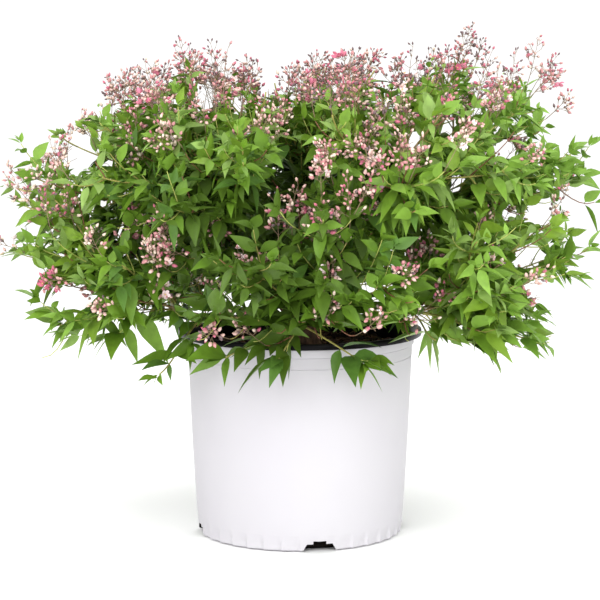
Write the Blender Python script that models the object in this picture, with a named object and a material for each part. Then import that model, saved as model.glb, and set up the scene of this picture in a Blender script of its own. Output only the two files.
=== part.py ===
# Potted deutzia: a many-stemmed flowering shrub in a white nursery container.
# Metres, +Z up. The origin is on the container's axis, on its flat underside. The front faces -Y.
# Azimuths are in degrees from the front, turning towards +X.

import math
import random

import bpy
import bmesh
from mathutils import Vector
from mathutils.bvhtree import BVHTree

# Container
POT_HEIGHT = 0.236
POT_SEGMENTS = 72
RIM_RADIUS = 0.1397
RIM_HEIGHT = 0.0065
RIM_LIP = 0.0057
COLLAR_RADIUS = 0.1311
COLLAR_STEP = 0.0022
COLLAR_STEP_Z = 0.2199
COLLAR_FOOT_Z = 0.2066
WALL_TOP_RADIUS = 0.1285
FOOT_RADIUS = 0.1176
WALL_BELLY = 0.0010
WALL = 0.0018
FLOOR = 0.0030
EDGE = 0.0010
HUB_RADIUS = 0.040
FLUTE_HEIGHT = 0.020
FLUTE_DEPTH = 0.0009

# Drain notches in the container's foot
NOTCH_COUNT = 4
NOTCH_AZIMUTH = 10.9
NOTCH_FOOT_HALF = 0.0200
NOTCH_TOP_HALF = 0.0146
NOTCH_STEP_HALF = 0.0073
NOTCH_TOP = 0.0087
NOTCH_STEP_TOP = 0.0122
NOTCH_INNER = 0.1116
NOTCH_OUTER = 0.1260

# Clearance between pieces that touch on the plant
GAP = 0.0003

# Potting mix
MIX_TOP = 0.2145
MIX_EDGE_TOP = 0.2120
MIX_SEGMENTS = 36
MIX_ROUGHNESS = 0.0012
SEAT_RADIUS = 0.034

# Root crown, and the bosses that carry the canes
CROWN_FOOT_RADIUS = 0.0250
CROWN_HEIGHT = 0.0280
CROWN_LOBES = 5
CROWN_LOBE_DEPTH = 0.06
CROWN_SEGMENTS = 15
BOSS_FOOT_RADIUS = 0.0042
BOSS_RADIUS = 0.0031
BOSS_SIDES = 6
BOSS_START = 0.008

# Canes
CANE_FOOT_RADIUS = 0.0029
CANE_TIP_RADIUS = 0.0022
CANE_SIDES = 6
CANE_STEPS = 4
CANE_PULL = 0.36
CANE_STUB = 0.0015

# The crown of foliage: a squat dome, with its shoulder higher on the right and in front. Its underside
# rises to the front and back, and only sprigs hang below it
HEART = Vector((0.0, 0.0, 0.235))
HOLLOW_RADIUS = 0.105
CENTRE = Vector((0.004, 0.0, 0.385))
HALF_WIDTH = 0.326
HALF_DEPTH = 0.310
HALF_UP = 0.166
HALF_DOWN = 0.150
SHOULDER = 2.9
SKIRT = 4.0
RISE_RIGHT = 0.026
RISE_FRONT = 0.012
UNDERSIDE = 0.214
UNDERSIDE_RISE = 0.16
SPRIG_LOWEST = 0.168
POT_CLEARANCE = 0.006

# Tiers of foliage masses: name, how many, first azimuth, elevation seen from the heart,
# reach and elevation of the boss that carries each cane
TIERS = (
    ("low", 6, 0.0, 10.0, 0.0310, 26.0),
    ("high", 5, 36.0, 50.0, 0.0290, 55.0),
    ("top", 1, 0.0, 88.0, 0.0270, 88.0),
)
COMPASS = (
    "front", "front_right", "right", "back_right", "back", "back_left", "left", "front_left",
)

# Shoot tips: layers as depth under the outline and spacing, and room kept from pot, heart and walls
LAYERS = ((0.038, 0.091), (0.097, 0.119))
TIP_CANDIDATES = 3000
TIP_BESIDE_POT = 0.012
TIP_ABOVE_POT = 0.030
TIP_ABOVE_HEART = 0.035
TIP_ROOM = 0.014
MASS_CLEARANCE = 0.0006

# Leaders and twigs
LEADER_RADIUS = 0.0021
LEADER_TIP_RADIUS = 0.0014
LEADER_SIDES = 4
TWIG_RADIUS = 0.0017
TWIG_TIP_RADIUS = 0.0011
TWIG_SIDES = 3
BRANCH_ANGLE = 45.0
LEAVE_SHARE = 0.7
BRANCH_ZONE = (0.10, 0.86)
LEADER_PULL = 0.4
TWIG_PULL = 0.3
LONGEST_SPAN = 0.090
CURVE_STEPS = 16

# Long sprigs that leave the dome: azimuth, distance from the axis, height, with panicle or not
SPRIG_LIMIT = 1.30
SPRIGS = (
    (-84.0, 0.302, 0.405, False),
    (88.0, 0.304, 0.400, True),
    (-80.0, 0.306, 0.325, True),
    (84.0, 0.292, 0.322, False),
    (70.0, 0.272, 0.236, False),
    (40.0, 0.226, 0.246, False),
    (-46.0, 0.212, 0.205, False),
    (-28.0, 0.186, 0.226, False),
    (-7.0, 0.184, 0.228, False),
    (21.0, 0.182, 0.222, False),
    (-72.0, 0.285, 0.250, False),
    (128.0, 0.215, 0.218, False),
    (-140.0, 0.290, 0.262, False),
    (178.0, 0.290, 0.350, False),
)

# Leaves, larger than life so that fewer of them clothe the crown
LEAF_LENGTH = 0.092
LEAF_HALF_WIDTH = 0.0208
LEAF_KEEL = 0.0024
LEAF_WIDEST = 0.40
LEAF_DROOP = 0.10
LEAF_ANGLE = 48.0
LEAF_RISE = 0.30
NODES_PER_TWIG = 3
NODES_PER_LEADER = 5
NODE_SPACING = 0.034
NODE_LENGTH = 0.0026
FIRST_NODE = 0.022
TIP_INSET = 0.005

# Ways to place a leaf, tried in turn: added angle, twist round the twig and share of its length
LEAF_TRIES = (
    (0.0, 0.0, 1.0), (-14.0, 0.0, 0.97), (14.0, 0.0, 0.95), (0.0, 26.0, 0.94), (0.0, -26.0, 0.94),
    (18.0, 42.0, 0.88), (18.0, -42.0, 0.88), (-16.0, 50.0, 0.82), (-16.0, -50.0, 0.82),
    (0.0, 0.0, 0.74), (0.0, 40.0, 0.72), (0.0, -40.0, 0.72), (20.0, 70.0, 0.70),
    (20.0, -70.0, 0.70), (-14.0, 20.0, 0.66), (-14.0, -20.0, 0.66), (10.0, 0.0, 0.58),
)

# A leaf's corners: four on the twig, the first two on its keel's side, then two sides, keel and tip
LEAF_FACES = (
    (0, 1, 6), (1, 5, 6), (1, 2, 5), (2, 3, 4), (2, 4, 5), (3, 0, 4), (0, 6, 4),
    (4, 6, 7), (6, 5, 7), (5, 4, 7),
)

# Panicles: beads of blossom on an upright axis
PANICLE_LENGTH = 0.056
PANICLE_RADIUS = 0.0010
PANICLE_LEAN = 20.0
PANICLE_OVERHANG = 0.15
PANICLE_CHANCE = (0.30, 0.60)
BEAD_RADII = (0.0064, 0.0056, 0.0042)

SEED = 43
GOLDEN_ANGLE = math.pi * (3.0 - math.sqrt(5.0))
UP = Vector((0.0, 0.0, 1.0))


def clear_scene():
    for obj in list(bpy.data.objects):
        bpy.data.objects.remove(obj, do_unlink=True)


def make_material(name, colour, roughness):
    material = bpy.data.materials.new(name)
    material.use_nodes = True
    shader = material.node_tree.nodes["Principled BSDF"]
    shader.inputs["Base Color"].default_value = (*colour, 1.0)
    shader.inputs["Roughness"].default_value = roughness
    shader.inputs["Metallic"].default_value = 0.0
    return material


def heading(azimuth, elevation=0.0):
    """Unit vector for an azimuth from the front and an elevation, both in degrees."""
    turn, lift = math.radians(azimuth), math.radians(elevation)
    return Vector((math.sin(turn) * math.cos(lift), -math.cos(turn) * math.cos(lift), math.sin(lift)))


def add_object(name, bm, material, smooth_angle=None):
    bmesh.ops.recalc_face_normals(bm, faces=bm.faces)
    if bm.calc_volume(signed=True) < 0.0:
        bmesh.ops.reverse_faces(bm, faces=bm.faces)
    mesh = bpy.data.meshes.new(name)
    bm.to_mesh(mesh)
    bm.free()
    mesh.materials.append(material)
    if smooth_angle is not None:
        mesh.shade_smooth()
        mesh.set_sharp_from_angle(angle=math.radians(smooth_angle))
    obj = bpy.data.objects.new(name, mesh)
    bpy.context.scene.collection.objects.link(obj)
    return obj


def add_ring(bm, segments, z, radius_at):
    """Ring of vertices; radius_at gives the radius for each vertex number."""
    ring = []
    for j in range(segments):
        ring.append(bm.verts.new(heading(360.0 * j / segments) * radius_at(j) + UP * z))
    return ring


def bridge(bm, low, high):
    count = len(low)
    for j in range(count):
        bm.faces.new((low[j], low[(j + 1) % count], high[(j + 1) % count], high[j]))


def cap_with_hub(bm, ring, z):
    """Flat cap whose middle is a hexagon, so that no vertex lies on the axis."""
    corners = [bm.verts.new(heading(60.0 * k) * HUB_RADIUS + UP * z) for k in range(6)]
    per_corner = len(ring) // 6
    for j, vert in enumerate(ring):
        corner = corners[j // per_corner]
        bm.faces.new((vert, ring[(j + 1) % len(ring)], corner))
        if (j + 1) % per_corner == 0:
            bm.faces.new((ring[(j + 1) % len(ring)], corners[(j // per_corner + 1) % 6], corner))
    for k in (0, 2, 4):
        bm.faces.new((corners[k], corners[(k + 1) % 6], corners[(k + 2) % 6]))
    bm.faces.new((corners[0], corners[2], corners[4]))


def cap_with_point(bm, ring, z):
    point = bm.verts.new((0.0, 0.0, z))
    for j in range(len(ring)):
        bm.faces.new((ring[j], ring[(j + 1) % len(ring)], point))


def wall_radius(z):
    """Outer radius of the container's tapered wall, with its slight belly."""
    t = z / COLLAR_FOOT_Z
    return FOOT_RADIUS + (WALL_TOP_RADIUS - FOOT_RADIUS) * t + 4.0 * WALL_BELLY * t * (1.0 - t)


def build_notch_cutters(material):
    """One stepped wedge for each drain notch, cut radially through the foot of the wall."""
    outline = (
        (-NOTCH_FOOT_HALF - 0.002, -0.004), (-NOTCH_TOP_HALF, NOTCH_TOP),
        (-NOTCH_STEP_HALF, NOTCH_TOP), (-NOTCH_STEP_HALF, NOTCH_STEP_TOP),
        (NOTCH_STEP_HALF, NOTCH_STEP_TOP), (NOTCH_STEP_HALF, NOTCH_TOP),
        (NOTCH_TOP_HALF, NOTCH_TOP), (NOTCH_FOOT_HALF + 0.002, -0.004),
    )
    cutters = bpy.data.collections.new("notch_cutters")
    bpy.context.scene.collection.children.link(cutters)
    for k in range(NOTCH_COUNT):
        azimuth = NOTCH_AZIMUTH + 360.0 * k / NOTCH_COUNT
        out, side = heading(azimuth), heading(azimuth + 90.0)
        bm = bmesh.new()
        inner = [bm.verts.new(out * NOTCH_INNER + side * x + UP * z) for x, z in outline]
        outer = [bm.verts.new(out * NOTCH_OUTER + side * x + UP * z) for x, z in outline]
        bridge(bm, inner, outer)
        bm.faces.new(inner)
        bm.faces.new(outer)
        cutter = add_object(f"notch_cutter_{k + 1}", bm, material)
        bpy.context.scene.collection.objects.unlink(cutter)
        cutters.objects.link(cutter)
        cutter.hide_render = True
        cutter.display_type = "WIRE"
    return cutters


def build_pot(material):
    """White container: fluted foot, tapered wall, stepped collar and proud rolled rim."""
    lower_collar = COLLAR_RADIUS - COLLAR_STEP
    rim_under = POT_HEIGHT - RIM_HEIGHT
    outside = [(FOOT_RADIUS - 1.5 * EDGE, 0.0, False), (FOOT_RADIUS, EDGE, True)]
    for z in (FLUTE_HEIGHT, COLLAR_FOOT_Z * 0.5, COLLAR_FOOT_Z):
        outside.append((wall_radius(z), z, False))
    outside += [
        (lower_collar, COLLAR_FOOT_Z + EDGE, False), (lower_collar, COLLAR_STEP_Z - EDGE, False),
        (COLLAR_RADIUS, COLLAR_STEP_Z, False), (COLLAR_RADIUS, rim_under, False),
        (RIM_RADIUS, rim_under, False), (RIM_RADIUS, POT_HEIGHT, False),
    ]
    inside = [
        (RIM_RADIUS - RIM_LIP, POT_HEIGHT, False), (COLLAR_RADIUS - WALL, rim_under + EDGE, False),
        (lower_collar - WALL, COLLAR_STEP_Z - EDGE, False), (WALL_TOP_RADIUS - WALL, COLLAR_FOOT_Z, False),
        (FOOT_RADIUS - WALL - EDGE, FLOOR, False),
    ]
    bm = bmesh.new()
    rings = []
    for radius, z, fluted in outside + inside:
        groove = FLUTE_DEPTH if fluted else 0.0
        rings.append(add_ring(bm, POT_SEGMENTS, z, lambda j: radius - groove * (j % 2)))
    for low, high in zip(rings, rings[1:]):
        bridge(bm, low, high)
    cap_with_hub(bm, rings[0], 0.0)
    cap_with_point(bm, rings[-1], FLOOR)
    pot = add_object("nursery_pot", bm, material, smooth_angle=24.0)
    cut = pot.modifiers.new("drain_notches", "BOOLEAN")
    cut.operation = "DIFFERENCE"
    cut.operand_type = "COLLECTION"
    cut.collection = build_notch_cutters(material)
    return pot


def build_mix(material):
    """Potting mix that fills the container to a little under its collar, with a flat seat."""
    draw = random.Random(SEED)
    rough = [[draw.uniform(-1.0, 1.0) * MIX_ROUGHNESS for _ in range(MIX_SEGMENTS)] for _ in range(2)]
    bm = bmesh.new()
    rings = [add_ring(bm, MIX_SEGMENTS, FLOOR + GAP, lambda j: FOOT_RADIUS - WALL - EDGE - GAP)]
    edge = WALL_TOP_RADIUS - WALL - GAP
    rings.append(add_ring(bm, MIX_SEGMENTS, COLLAR_FOOT_Z, lambda j: edge))
    rings.append(add_ring(bm, MIX_SEGMENTS, MIX_EDGE_TOP, lambda j: edge))
    for k, heights in enumerate(rough):
        radius = SEAT_RADIUS + (edge - SEAT_RADIUS) * (2 - k) / 3
        ring = add_ring(bm, MIX_SEGMENTS, MIX_TOP - MIX_ROUGHNESS, lambda j: radius)
        for vert, height in zip(ring, heights):
            vert.co.z += height
        rings.append(ring)
    rings.append(add_ring(bm, MIX_SEGMENTS, MIX_TOP, lambda j: SEAT_RADIUS))
    for low, high in zip(rings, rings[1:]):
        bridge(bm, low, high)
    cap_with_point(bm, rings[0], FLOOR + GAP)
    cap_with_point(bm, rings[-1], MIX_TOP)
    return add_object("potting_mix", bm, material, smooth_angle=40.0)


def add_tube(bm, points, radii, sides):
    """Closed tube of a few sides along a path, with flat ends square to it."""
    count = len(points)
    tangents = []
    for k in range(count):
        tangents.append((points[min(k + 1, count - 1)] - points[max(k - 1, 0)]).normalized())
    across = tangents[0].orthogonal().normalized()
    rings = []
    for point, tangent, radius in zip(points, tangents, radii):
        across = (across - tangent * across.dot(tangent)).normalized()
        other = tangent.cross(across)
        ring = []
        for j in range(sides):
            turn = 2.0 * math.pi * j / sides
            ring.append(bm.verts.new(point + (across * math.cos(turn) + other * math.sin(turn)) * radius))
        rings.append(ring)
    for low, high in zip(rings, rings[1:]):
        bridge(bm, low, high)
    bm.faces.new(rings[0])
    bm.faces.new(rings[-1])


def spread(first, last, count):
    return [first + (last - first) * k / (count - 1) for k in range(count)]


def curve_points(start, start_pull, end_pull, end, steps):
    """Points of a cubic curve that leaves start by start_pull and reaches end by end_pull."""
    a, b, c, d = start, start + start_pull, end - end_pull, end
    points = []
    for k in range(steps + 1):
        t = k / steps
        s = 1.0 - t
        points.append(a * s ** 3 + b * (3 * s * s * t) + c * (3 * s * t * t) + d * t ** 3)
    return points


def tube_object(name, points, radii, sides, material):
    bm = bmesh.new()
    add_tube(bm, points, radii, sides)
    return add_object(name, bm, material)


def drop_scraps(mesh):
    """Keep the largest connected shell, so that sealed hollows are filled and scraps are dropped."""
    bm = bmesh.new()
    bm.from_mesh(mesh)
    left, shells = set(bm.verts), []
    while left:
        shell, edge = set(), [left.pop()]
        while edge:
            vert = edge.pop()
            shell.add(vert)
            near = {link.other_vert(vert) for link in vert.link_edges} & left
            left -= near
            edge += near
        shells.append(shell)
    largest = max(shells, key=len)
    for shell in shells:
        if shell is not largest:
            bmesh.ops.delete(bm, geom=list(shell), context="VERTS")
    bm.to_mesh(mesh)
    bm.free()


def fuse(body, pieces, solver="EXACT"):
    """Join the pieces to the body by one Boolean union, and remove them."""
    group = bpy.data.collections.new(body.name + "_pieces")
    bpy.context.scene.collection.children.link(group)
    for piece in pieces:
        bpy.context.scene.collection.objects.unlink(piece)
        group.objects.link(piece)
    union = body.modifiers.new("union", "BOOLEAN")
    union.operation = "UNION"
    union.operand_type = "COLLECTION"
    union.collection = group
    union.solver = solver
    if solver == "EXACT":
        union.material_mode = "TRANSFER"
    fused = bpy.data.meshes.new_from_object(body.evaluated_get(bpy.context.evaluated_depsgraph_get()))
    body.modifiers.clear()
    drop_scraps(fused)
    body.data = fused
    for piece in pieces:
        bpy.data.objects.remove(piece, do_unlink=True)
    bpy.data.collections.remove(group)


class Mass:
    """One mass of foliage: its name, the direction of its space and the seat of its cane."""

    def __init__(self, tier, number, count, first, elevation, boss_reach, boss_elevation):
        azimuth = first + 360.0 * number / count
        side = COMPASS[round(azimuth / 45.0) % 8]
        self.label = f"{tier}_{side}" if count > 1 else tier
        self.aim = heading(azimuth, elevation)
        self.boss_aim = heading(azimuth, boss_elevation)
        self.boss_end = crown_middle() + self.boss_aim * boss_reach
        self.entry = HEART + self.aim * HOLLOW_RADIUS


def crown_middle():
    return Vector((0.0, 0.0, MIX_TOP + GAP + 0.42 * CROWN_HEIGHT))


def list_masses():
    masses = []
    for tier, count, first, elevation, reach, lift in TIERS:
        for number in range(count):
            masses.append(Mass(tier, number, count, first, elevation, reach, lift))
    return masses


def build_root_crown(masses, material):
    """Knobbly woody foot of the shrub, cut flat on the potting mix, with a boss for each cane."""
    foot = MIX_TOP + GAP
    profile = ((1.00, 0.00), (0.94, 0.18), (0.86, 0.45), (0.66, 0.75), (0.34, 0.95))

    def lobed(share):
        def radius_at(j):
            turn = 2.0 * math.pi * j / CROWN_SEGMENTS
            return CROWN_FOOT_RADIUS * share * (1.0 + CROWN_LOBE_DEPTH * math.cos(CROWN_LOBES * turn))
        return radius_at

    bm = bmesh.new()
    rings = []
    for share, rise in profile:
        rings.append(add_ring(bm, CROWN_SEGMENTS, foot + CROWN_HEIGHT * rise, lobed(share)))
    for low, high in zip(rings, rings[1:]):
        bridge(bm, low, high)
    cap_with_point(bm, rings[0], foot)
    cap_with_point(bm, rings[-1], foot + CROWN_HEIGHT)
    crown = add_object("root_crown", bm, material, smooth_angle=50.0)
    bosses = []
    for mass in masses:
        start = crown_middle() + mass.boss_aim * BOSS_START
        radii = (BOSS_FOOT_RADIUS, BOSS_RADIUS)
        path = (start, mass.boss_end)
        bosses.append(tube_object(f"boss_{mass.label}", path, radii, BOSS_SIDES, material))
    fuse(crown, bosses)
    return crown


def build_cane(mass, material):
    """Tapering cane that arches from its boss to where it enters its mass of foliage."""
    start = mass.boss_end + mass.boss_aim * GAP
    length = (mass.entry - start).length
    pulls = (mass.boss_aim * length * CANE_PULL, mass.aim * length * CANE_PULL)
    points = curve_points(start, *pulls, mass.entry, CANE_STEPS)
    points = square_ends(points, mass.boss_aim, mass.aim)
    radii = spread(CANE_FOOT_RADIUS, CANE_TIP_RADIUS, len(points))
    bm = bmesh.new()
    add_tube(bm, points, radii, CANE_SIDES)
    return add_object(f"cane_{mass.label}", bm, material, smooth_angle=60.0)


def square_ends(points, first_aim, last_aim):
    """Short straight lengths at both ends, so that the end faces are square to the aims."""
    first = [points[0], points[0] + first_aim * CANE_STUB]
    last = [points[-1] - last_aim * CANE_STUB, points[-1]]
    return first + points[1:-1] + last


def crown_level(point):
    """Under 1 inside the crown's outline, 1 on it and over 1 outside."""
    offset = point - CENTRE
    x, y, z = offset
    if z > 0.0:
        power = SHOULDER
        half = HALF_UP + (RISE_RIGHT * x - RISE_FRONT * y) / offset.length
    else:
        power, half = SKIRT, HALF_DOWN
    plan = math.hypot(x / HALF_WIDTH, y / HALF_DEPTH)
    return (plan ** power + (abs(z) / half) ** power) ** (1.0 / power)


def outline_point(direction, depth):
    """Point under the crown's outline, seen from its centre along a direction."""
    reach = 1.0 / crown_level(CENTRE + direction)
    return CENTRE + direction * (reach - depth)


class Space:
    """The room that one mass keeps to: a wedge of the crown, clear of the container and canes."""

    def __init__(self, mass, masses):
        self.walls = [(mass.aim - other.aim).normalized() for other in masses if other is not mass]

    def holds(self, point, limit):
        from_heart = point - HEART
        lowest = UNDERSIDE + UNDERSIDE_RISE * abs(point.y) if limit <= 1.0 else SPRIG_LOWEST
        if from_heart.length < HOLLOW_RADIUS + MASS_CLEARANCE or point.z < lowest:
            return False
        over_pot = math.hypot(point.x, point.y) < RIM_RADIUS + POT_CLEARANCE
        if over_pot and point.z < POT_HEIGHT + POT_CLEARANCE:
            return False
        if crown_level(point) > limit:
            return False
        return all(from_heart.dot(wall) > MASS_CLEARANCE for wall in self.walls)

    def margin(self, point):
        from_heart = point - HEART
        return min(from_heart.dot(wall) for wall in self.walls)

    def draw_in(self, point):
        """Move a tip away from the walls of the wedge, so that its leaves have room."""
        for wall in self.walls:
            short = TIP_ROOM - (point - HEART).dot(wall)
            if short > 0.0:
                point = point + wall * short
        return point


def list_tips():
    """Evenly spaced shoot tips under the outline, layer by layer, from a golden-angle spiral."""
    tips = []
    for depth, spacing in LAYERS:
        layer = []
        for k in range(TIP_CANDIDATES):
            height = 1.0 - 2.0 * (k + 0.5) / TIP_CANDIDATES
            width = math.sqrt(1.0 - height * height)
            turn = k * GOLDEN_ANGLE
            direction = Vector((width * math.cos(turn), width * math.sin(turn), height))
            tip = outline_point(direction, depth)
            beside_pot = math.hypot(tip.x, tip.y) < RIM_RADIUS + TIP_BESIDE_POT
            over_pot = beside_pot and tip.z < POT_HEIGHT + TIP_ABOVE_POT
            too_near = (tip - HEART).length < HOLLOW_RADIUS + TIP_ABOVE_HEART
            if over_pot or too_near or any((tip - other).length < spacing for other in layer):
                continue
            layer.append(tip)
        tips += layer
    return tips


def outward(point):
    """Direction away from the middle of the crown."""
    return (point - CENTRE + UP * 0.05).normalized()


def tilt(direction, towards, degrees):
    """Turn a direction by an angle towards another."""
    side = (towards - direction * towards.dot(direction)).normalized()
    turn = math.radians(degrees)
    return direction * math.cos(turn) + side * math.sin(turn)


def level_across(direction):
    """Level direction square to another, or +X where that one points straight up."""
    across = direction.cross(UP)
    return across.normalized() if across.length > 0.2 else Vector((1.0, 0.0, 0.0))


def measure(path):
    """Distances along a path to each of its points."""
    distances = [0.0]
    for low, high in zip(path, path[1:]):
        distances.append(distances[-1] + (high - low).length)
    return distances


def place_on(path, distances, distance):
    """Point at a distance along a path, and the path's direction there."""
    for k in range(1, len(path)):
        if distance <= distances[k] or k == len(path) - 1:
            low, high = path[k - 1], path[k]
            span = distances[k] - distances[k - 1]
            return low.lerp(high, (distance - distances[k - 1]) / span), (high - low).normalized()


class Shoot:
    """A twig as a stack of rings: its nodes carry opposite leaves, and its end may be a panicle."""

    def __init__(self, path, first_radius, last_radius, sides, nodes, limit):
        self.sides = sides
        self.limit = limit
        self.rings = []
        self.nodes = []
        self.leaves = {}
        self.blossom_from = None
        distances = measure(path)
        length = distances[-1]
        centres = [length - TIP_INSET - NODE_SPACING * k for k in range(nodes)]
        centres = sorted(centre for centre in centres if centre > FIRST_NODE)
        stops = [(0.0, False)]
        for centre in centres:
            stops += [(centre - NODE_LENGTH / 2.0, True), (centre + NODE_LENGTH / 2.0, False)]
        self.across = level_across((path[1] - path[0]).normalized())
        for k, (start, node) in enumerate(stops):
            if node:
                self.nodes.append(len(self.rings))
            end = stops[k + 1][0] if k < len(stops) - 1 else start
            parts = max(1, math.ceil((end - start) / LONGEST_SPAN))
            for part in range(parts):
                at = start + (end - start) * part / parts
                point, tangent = place_on(path, distances, at)
                self.add_ring(point, tangent, first_radius + (last_radius - first_radius) * at / length)
        self.end = path[-1]

    def add_ring(self, point, tangent, radius):
        self.across = (self.across - tangent * self.across.dot(tangent)).normalized()
        other = tangent.cross(self.across)
        ring = []
        for j in range(self.sides):
            angle = 2.0 * math.pi * j / self.sides
            ring.append(point + (self.across * math.cos(angle) + other * math.sin(angle)) * radius)
        self.rings.append(ring)
        self.tangent = tangent

    def add_panicle(self):
        """Continue the shoot as an upright axis with a bead of blossom at each of its nodes."""
        self.blossom_from = len(self.rings)
        aim = tilt(self.tangent, UP, PANICLE_LEAN)
        start = self.end
        step = PANICLE_LENGTH / len(BEAD_RADII)
        for k, bead in enumerate(BEAD_RADII):
            self.add_ring(start + aim * step * (k + 0.62), aim, bead)
            if k < len(BEAD_RADII) - 1:
                self.add_ring(start + aim * step * (k + 0.95), aim, PANICLE_RADIUS)
        self.end = start + aim * PANICLE_LENGTH

    def sides_of(self, ring, j):
        """The four corners of side j between a ring and the next."""
        low, high = self.rings[ring], self.rings[ring + 1]
        nxt = (j + 1) % self.sides
        return [low[j], low[nxt], high[nxt], high[j]]

    def tube(self):
        """Corners and faces of the shoot without its leaves."""
        corners = [corner for ring in self.rings for corner in ring] + [self.end]
        faces = []
        for ring in range(len(self.rings) - 1):
            for j in range(self.sides):
                low, high = ring * self.sides, (ring + 1) * self.sides
                nxt = (j + 1) % self.sides
                faces.append((low + j, low + nxt, high + nxt, high + j))
        return corners, faces

    def build(self, name, materials):
        """Closed mesh of the shoot, with each leaf grown out of the side that it replaces."""
        bm = bmesh.new()
        rings = [[bm.verts.new(corner) for corner in ring] for ring in self.rings]

        def add_face(verts, kind):
            bm.faces.new(verts).material_index = kind

        for ring in range(len(rings) - 1):
            kind = 2 if self.blossom_from is not None and ring >= self.blossom_from else 0
            for j in range(self.sides):
                nxt = (j + 1) % self.sides
                quad = [rings[ring][j], rings[ring][nxt], rings[ring + 1][nxt], rings[ring + 1][j]]
                if (ring, j) in self.leaves:
                    first, blade = self.leaves[(ring, j)]
                    verts = quad[first:] + quad[:first] + [bm.verts.new(corner) for corner in blade]
                    for face in LEAF_FACES:
                        add_face([verts[k] for k in face], 1)
                else:
                    add_face(quad, kind)
        add_face(rings[0], 0)
        end = bm.verts.new(self.end)
        last_kind = 0 if self.blossom_from is None else 2
        for j in range(self.sides):
            add_face((rings[-1][j], rings[-1][(j + 1) % self.sides], end), last_kind)
        shoot = add_object(name, bm, materials[0])
        for material in materials[1:]:
            shoot.data.materials.append(material)
        return shoot


def leaf_blade(base, direction, normal, length):
    """The two sides, the keel and the tip of a leaf."""
    half = direction.cross(normal) * LEAF_HALF_WIDTH * length / LEAF_LENGTH
    middle = base + direction * length * LEAF_WIDEST
    tip = base + direction * length - UP * length * LEAF_DROOP
    return [middle + half, middle - half, middle - normal * LEAF_KEEL, tip]


def fit_leaf(base, blade, normal):
    """Turn the base's corners so that the keel's side comes first, and order the blade to match."""
    middle = sum(base, Vector()) / 4.0
    first = min(range(4), key=lambda k: ((base[k] + base[(k + 1) % 4]) / 2.0 - middle).dot(normal))
    base = base[first:] + base[:first]
    if (blade[0] - blade[1]).dot(base[0] - base[1]) < 0.0:
        blade = [blade[1], blade[0], blade[2], blade[3]]
    return first, base, blade


class Foliage:
    """One mass of foliage: its shoots, and what the leaves still to come must keep clear of."""

    def __init__(self, mass, masses, draw):
        self.label = mass.label
        self.space = Space(mass, masses)
        self.draw = draw
        self.shoots = []
        self.trees = []

    def add_shoot(self, path, first_radius, last_radius, sides, nodes, limit, panicle):
        shoot = Shoot(path, first_radius, last_radius, sides, nodes, limit)
        if panicle and self.space.holds(shoot.end + UP * PANICLE_LENGTH, limit + PANICLE_OVERHANG):
            shoot.add_panicle()
        self.shoots.append(shoot)
        self.trees.append((shoot, BVHTree.FromPolygons(*shoot.tube())))

    def crosses_own_twig(self, shoot, ring, j, tree):
        """Whether a leaf on side j after a ring meets its own shoot anywhere but round its foot."""
        nxt = (j + 1) % shoot.sides
        low, high = ring * shoot.sides, (ring + 1) * shoot.sides
        foot = {low + j, low + nxt, high + nxt, high + j}
        faces = shoot.tube()[1]
        own = next(other for owner, other in self.trees if owner is shoot)
        return any(foot.isdisjoint(faces[face]) for _, face in tree.overlap(own))

    def try_leaf(self, shoot, ring, j, direction, light, length):
        base = shoot.sides_of(ring, j)
        facing = (base[2] - base[0]).cross(base[3] - base[1]).normalized()
        if abs(direction.dot(facing)) < LEAF_RISE:
            return None
        normal = light - direction * light.dot(direction)
        if normal.length < 0.2:
            normal = direction.orthogonal()
        normal.normalize()
        middle = sum(base, Vector()) / 4.0
        blade = leaf_blade(middle, direction, normal, length)
        first, base, blade = fit_leaf(base, blade, normal)
        if not all(self.space.holds(corner, shoot.limit) for corner in blade):
            return None
        tree = BVHTree.FromPolygons(base + blade, LEAF_FACES)
        if any(tree.overlap(other) for owner, other in self.trees if owner is not shoot):
            return None
        if self.crosses_own_twig(shoot, ring, j, tree):
            return None
        self.trees.append((None, tree))
        return first, blade

    def dress(self, shoot):
        """Opposite leaves at each node, every pair turned across the last."""
        for count, ring in enumerate(reversed(shoot.nodes)):
            low = sum(shoot.rings[ring], Vector()) / shoot.sides
            high = sum(shoot.rings[ring + 1], Vector()) / shoot.sides
            tangent = (high - low).normalized()
            across = level_across(tangent)
            if count % 2 == 1:
                across = tangent.cross(across)
            used = []
            for side in (across, -across):
                bases = {j: shoot.sides_of(ring, j) for j in range(shoot.sides) if j not in used}
                j = max(bases, key=lambda k: (sum(bases[k], Vector()) / 4.0 - low).dot(side))
                length = LEAF_LENGTH * self.draw.uniform(0.84, 1.06)
                angle = LEAF_ANGLE + self.draw.uniform(-8.0, 8.0)
                light = UP * 0.8 + outward(low) * 0.6 + side * self.draw.uniform(-0.3, 0.3)
                for turn, twist, share in LEAF_TRIES:
                    turned = tilt(side, tangent.cross(side), twist)
                    direction = tilt(tangent, turned, angle + turn)
                    leaf = self.try_leaf(shoot, ring, j, direction, light, length * share)
                    if leaf:
                        shoot.leaves[(ring, j)] = leaf
                        used.append(j)
                        break


def branch_start(path, tip):
    """Place on the leader whose direction makes the branch angle with the way to the tip."""
    distances = measure(path)
    first, last = (share * distances[-1] for share in BRANCH_ZONE)
    best = None
    for at in spread(first, last, CURVE_STEPS):
        place, tangent = place_on(path, distances, at)
        miss = abs(math.degrees(tangent.angle(tip - place)) - BRANCH_ANGLE)
        if (tip - place).length > NODE_SPACING and (best is None or miss < best[0]):
            best = (miss, place, tangent)
    return best


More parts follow.
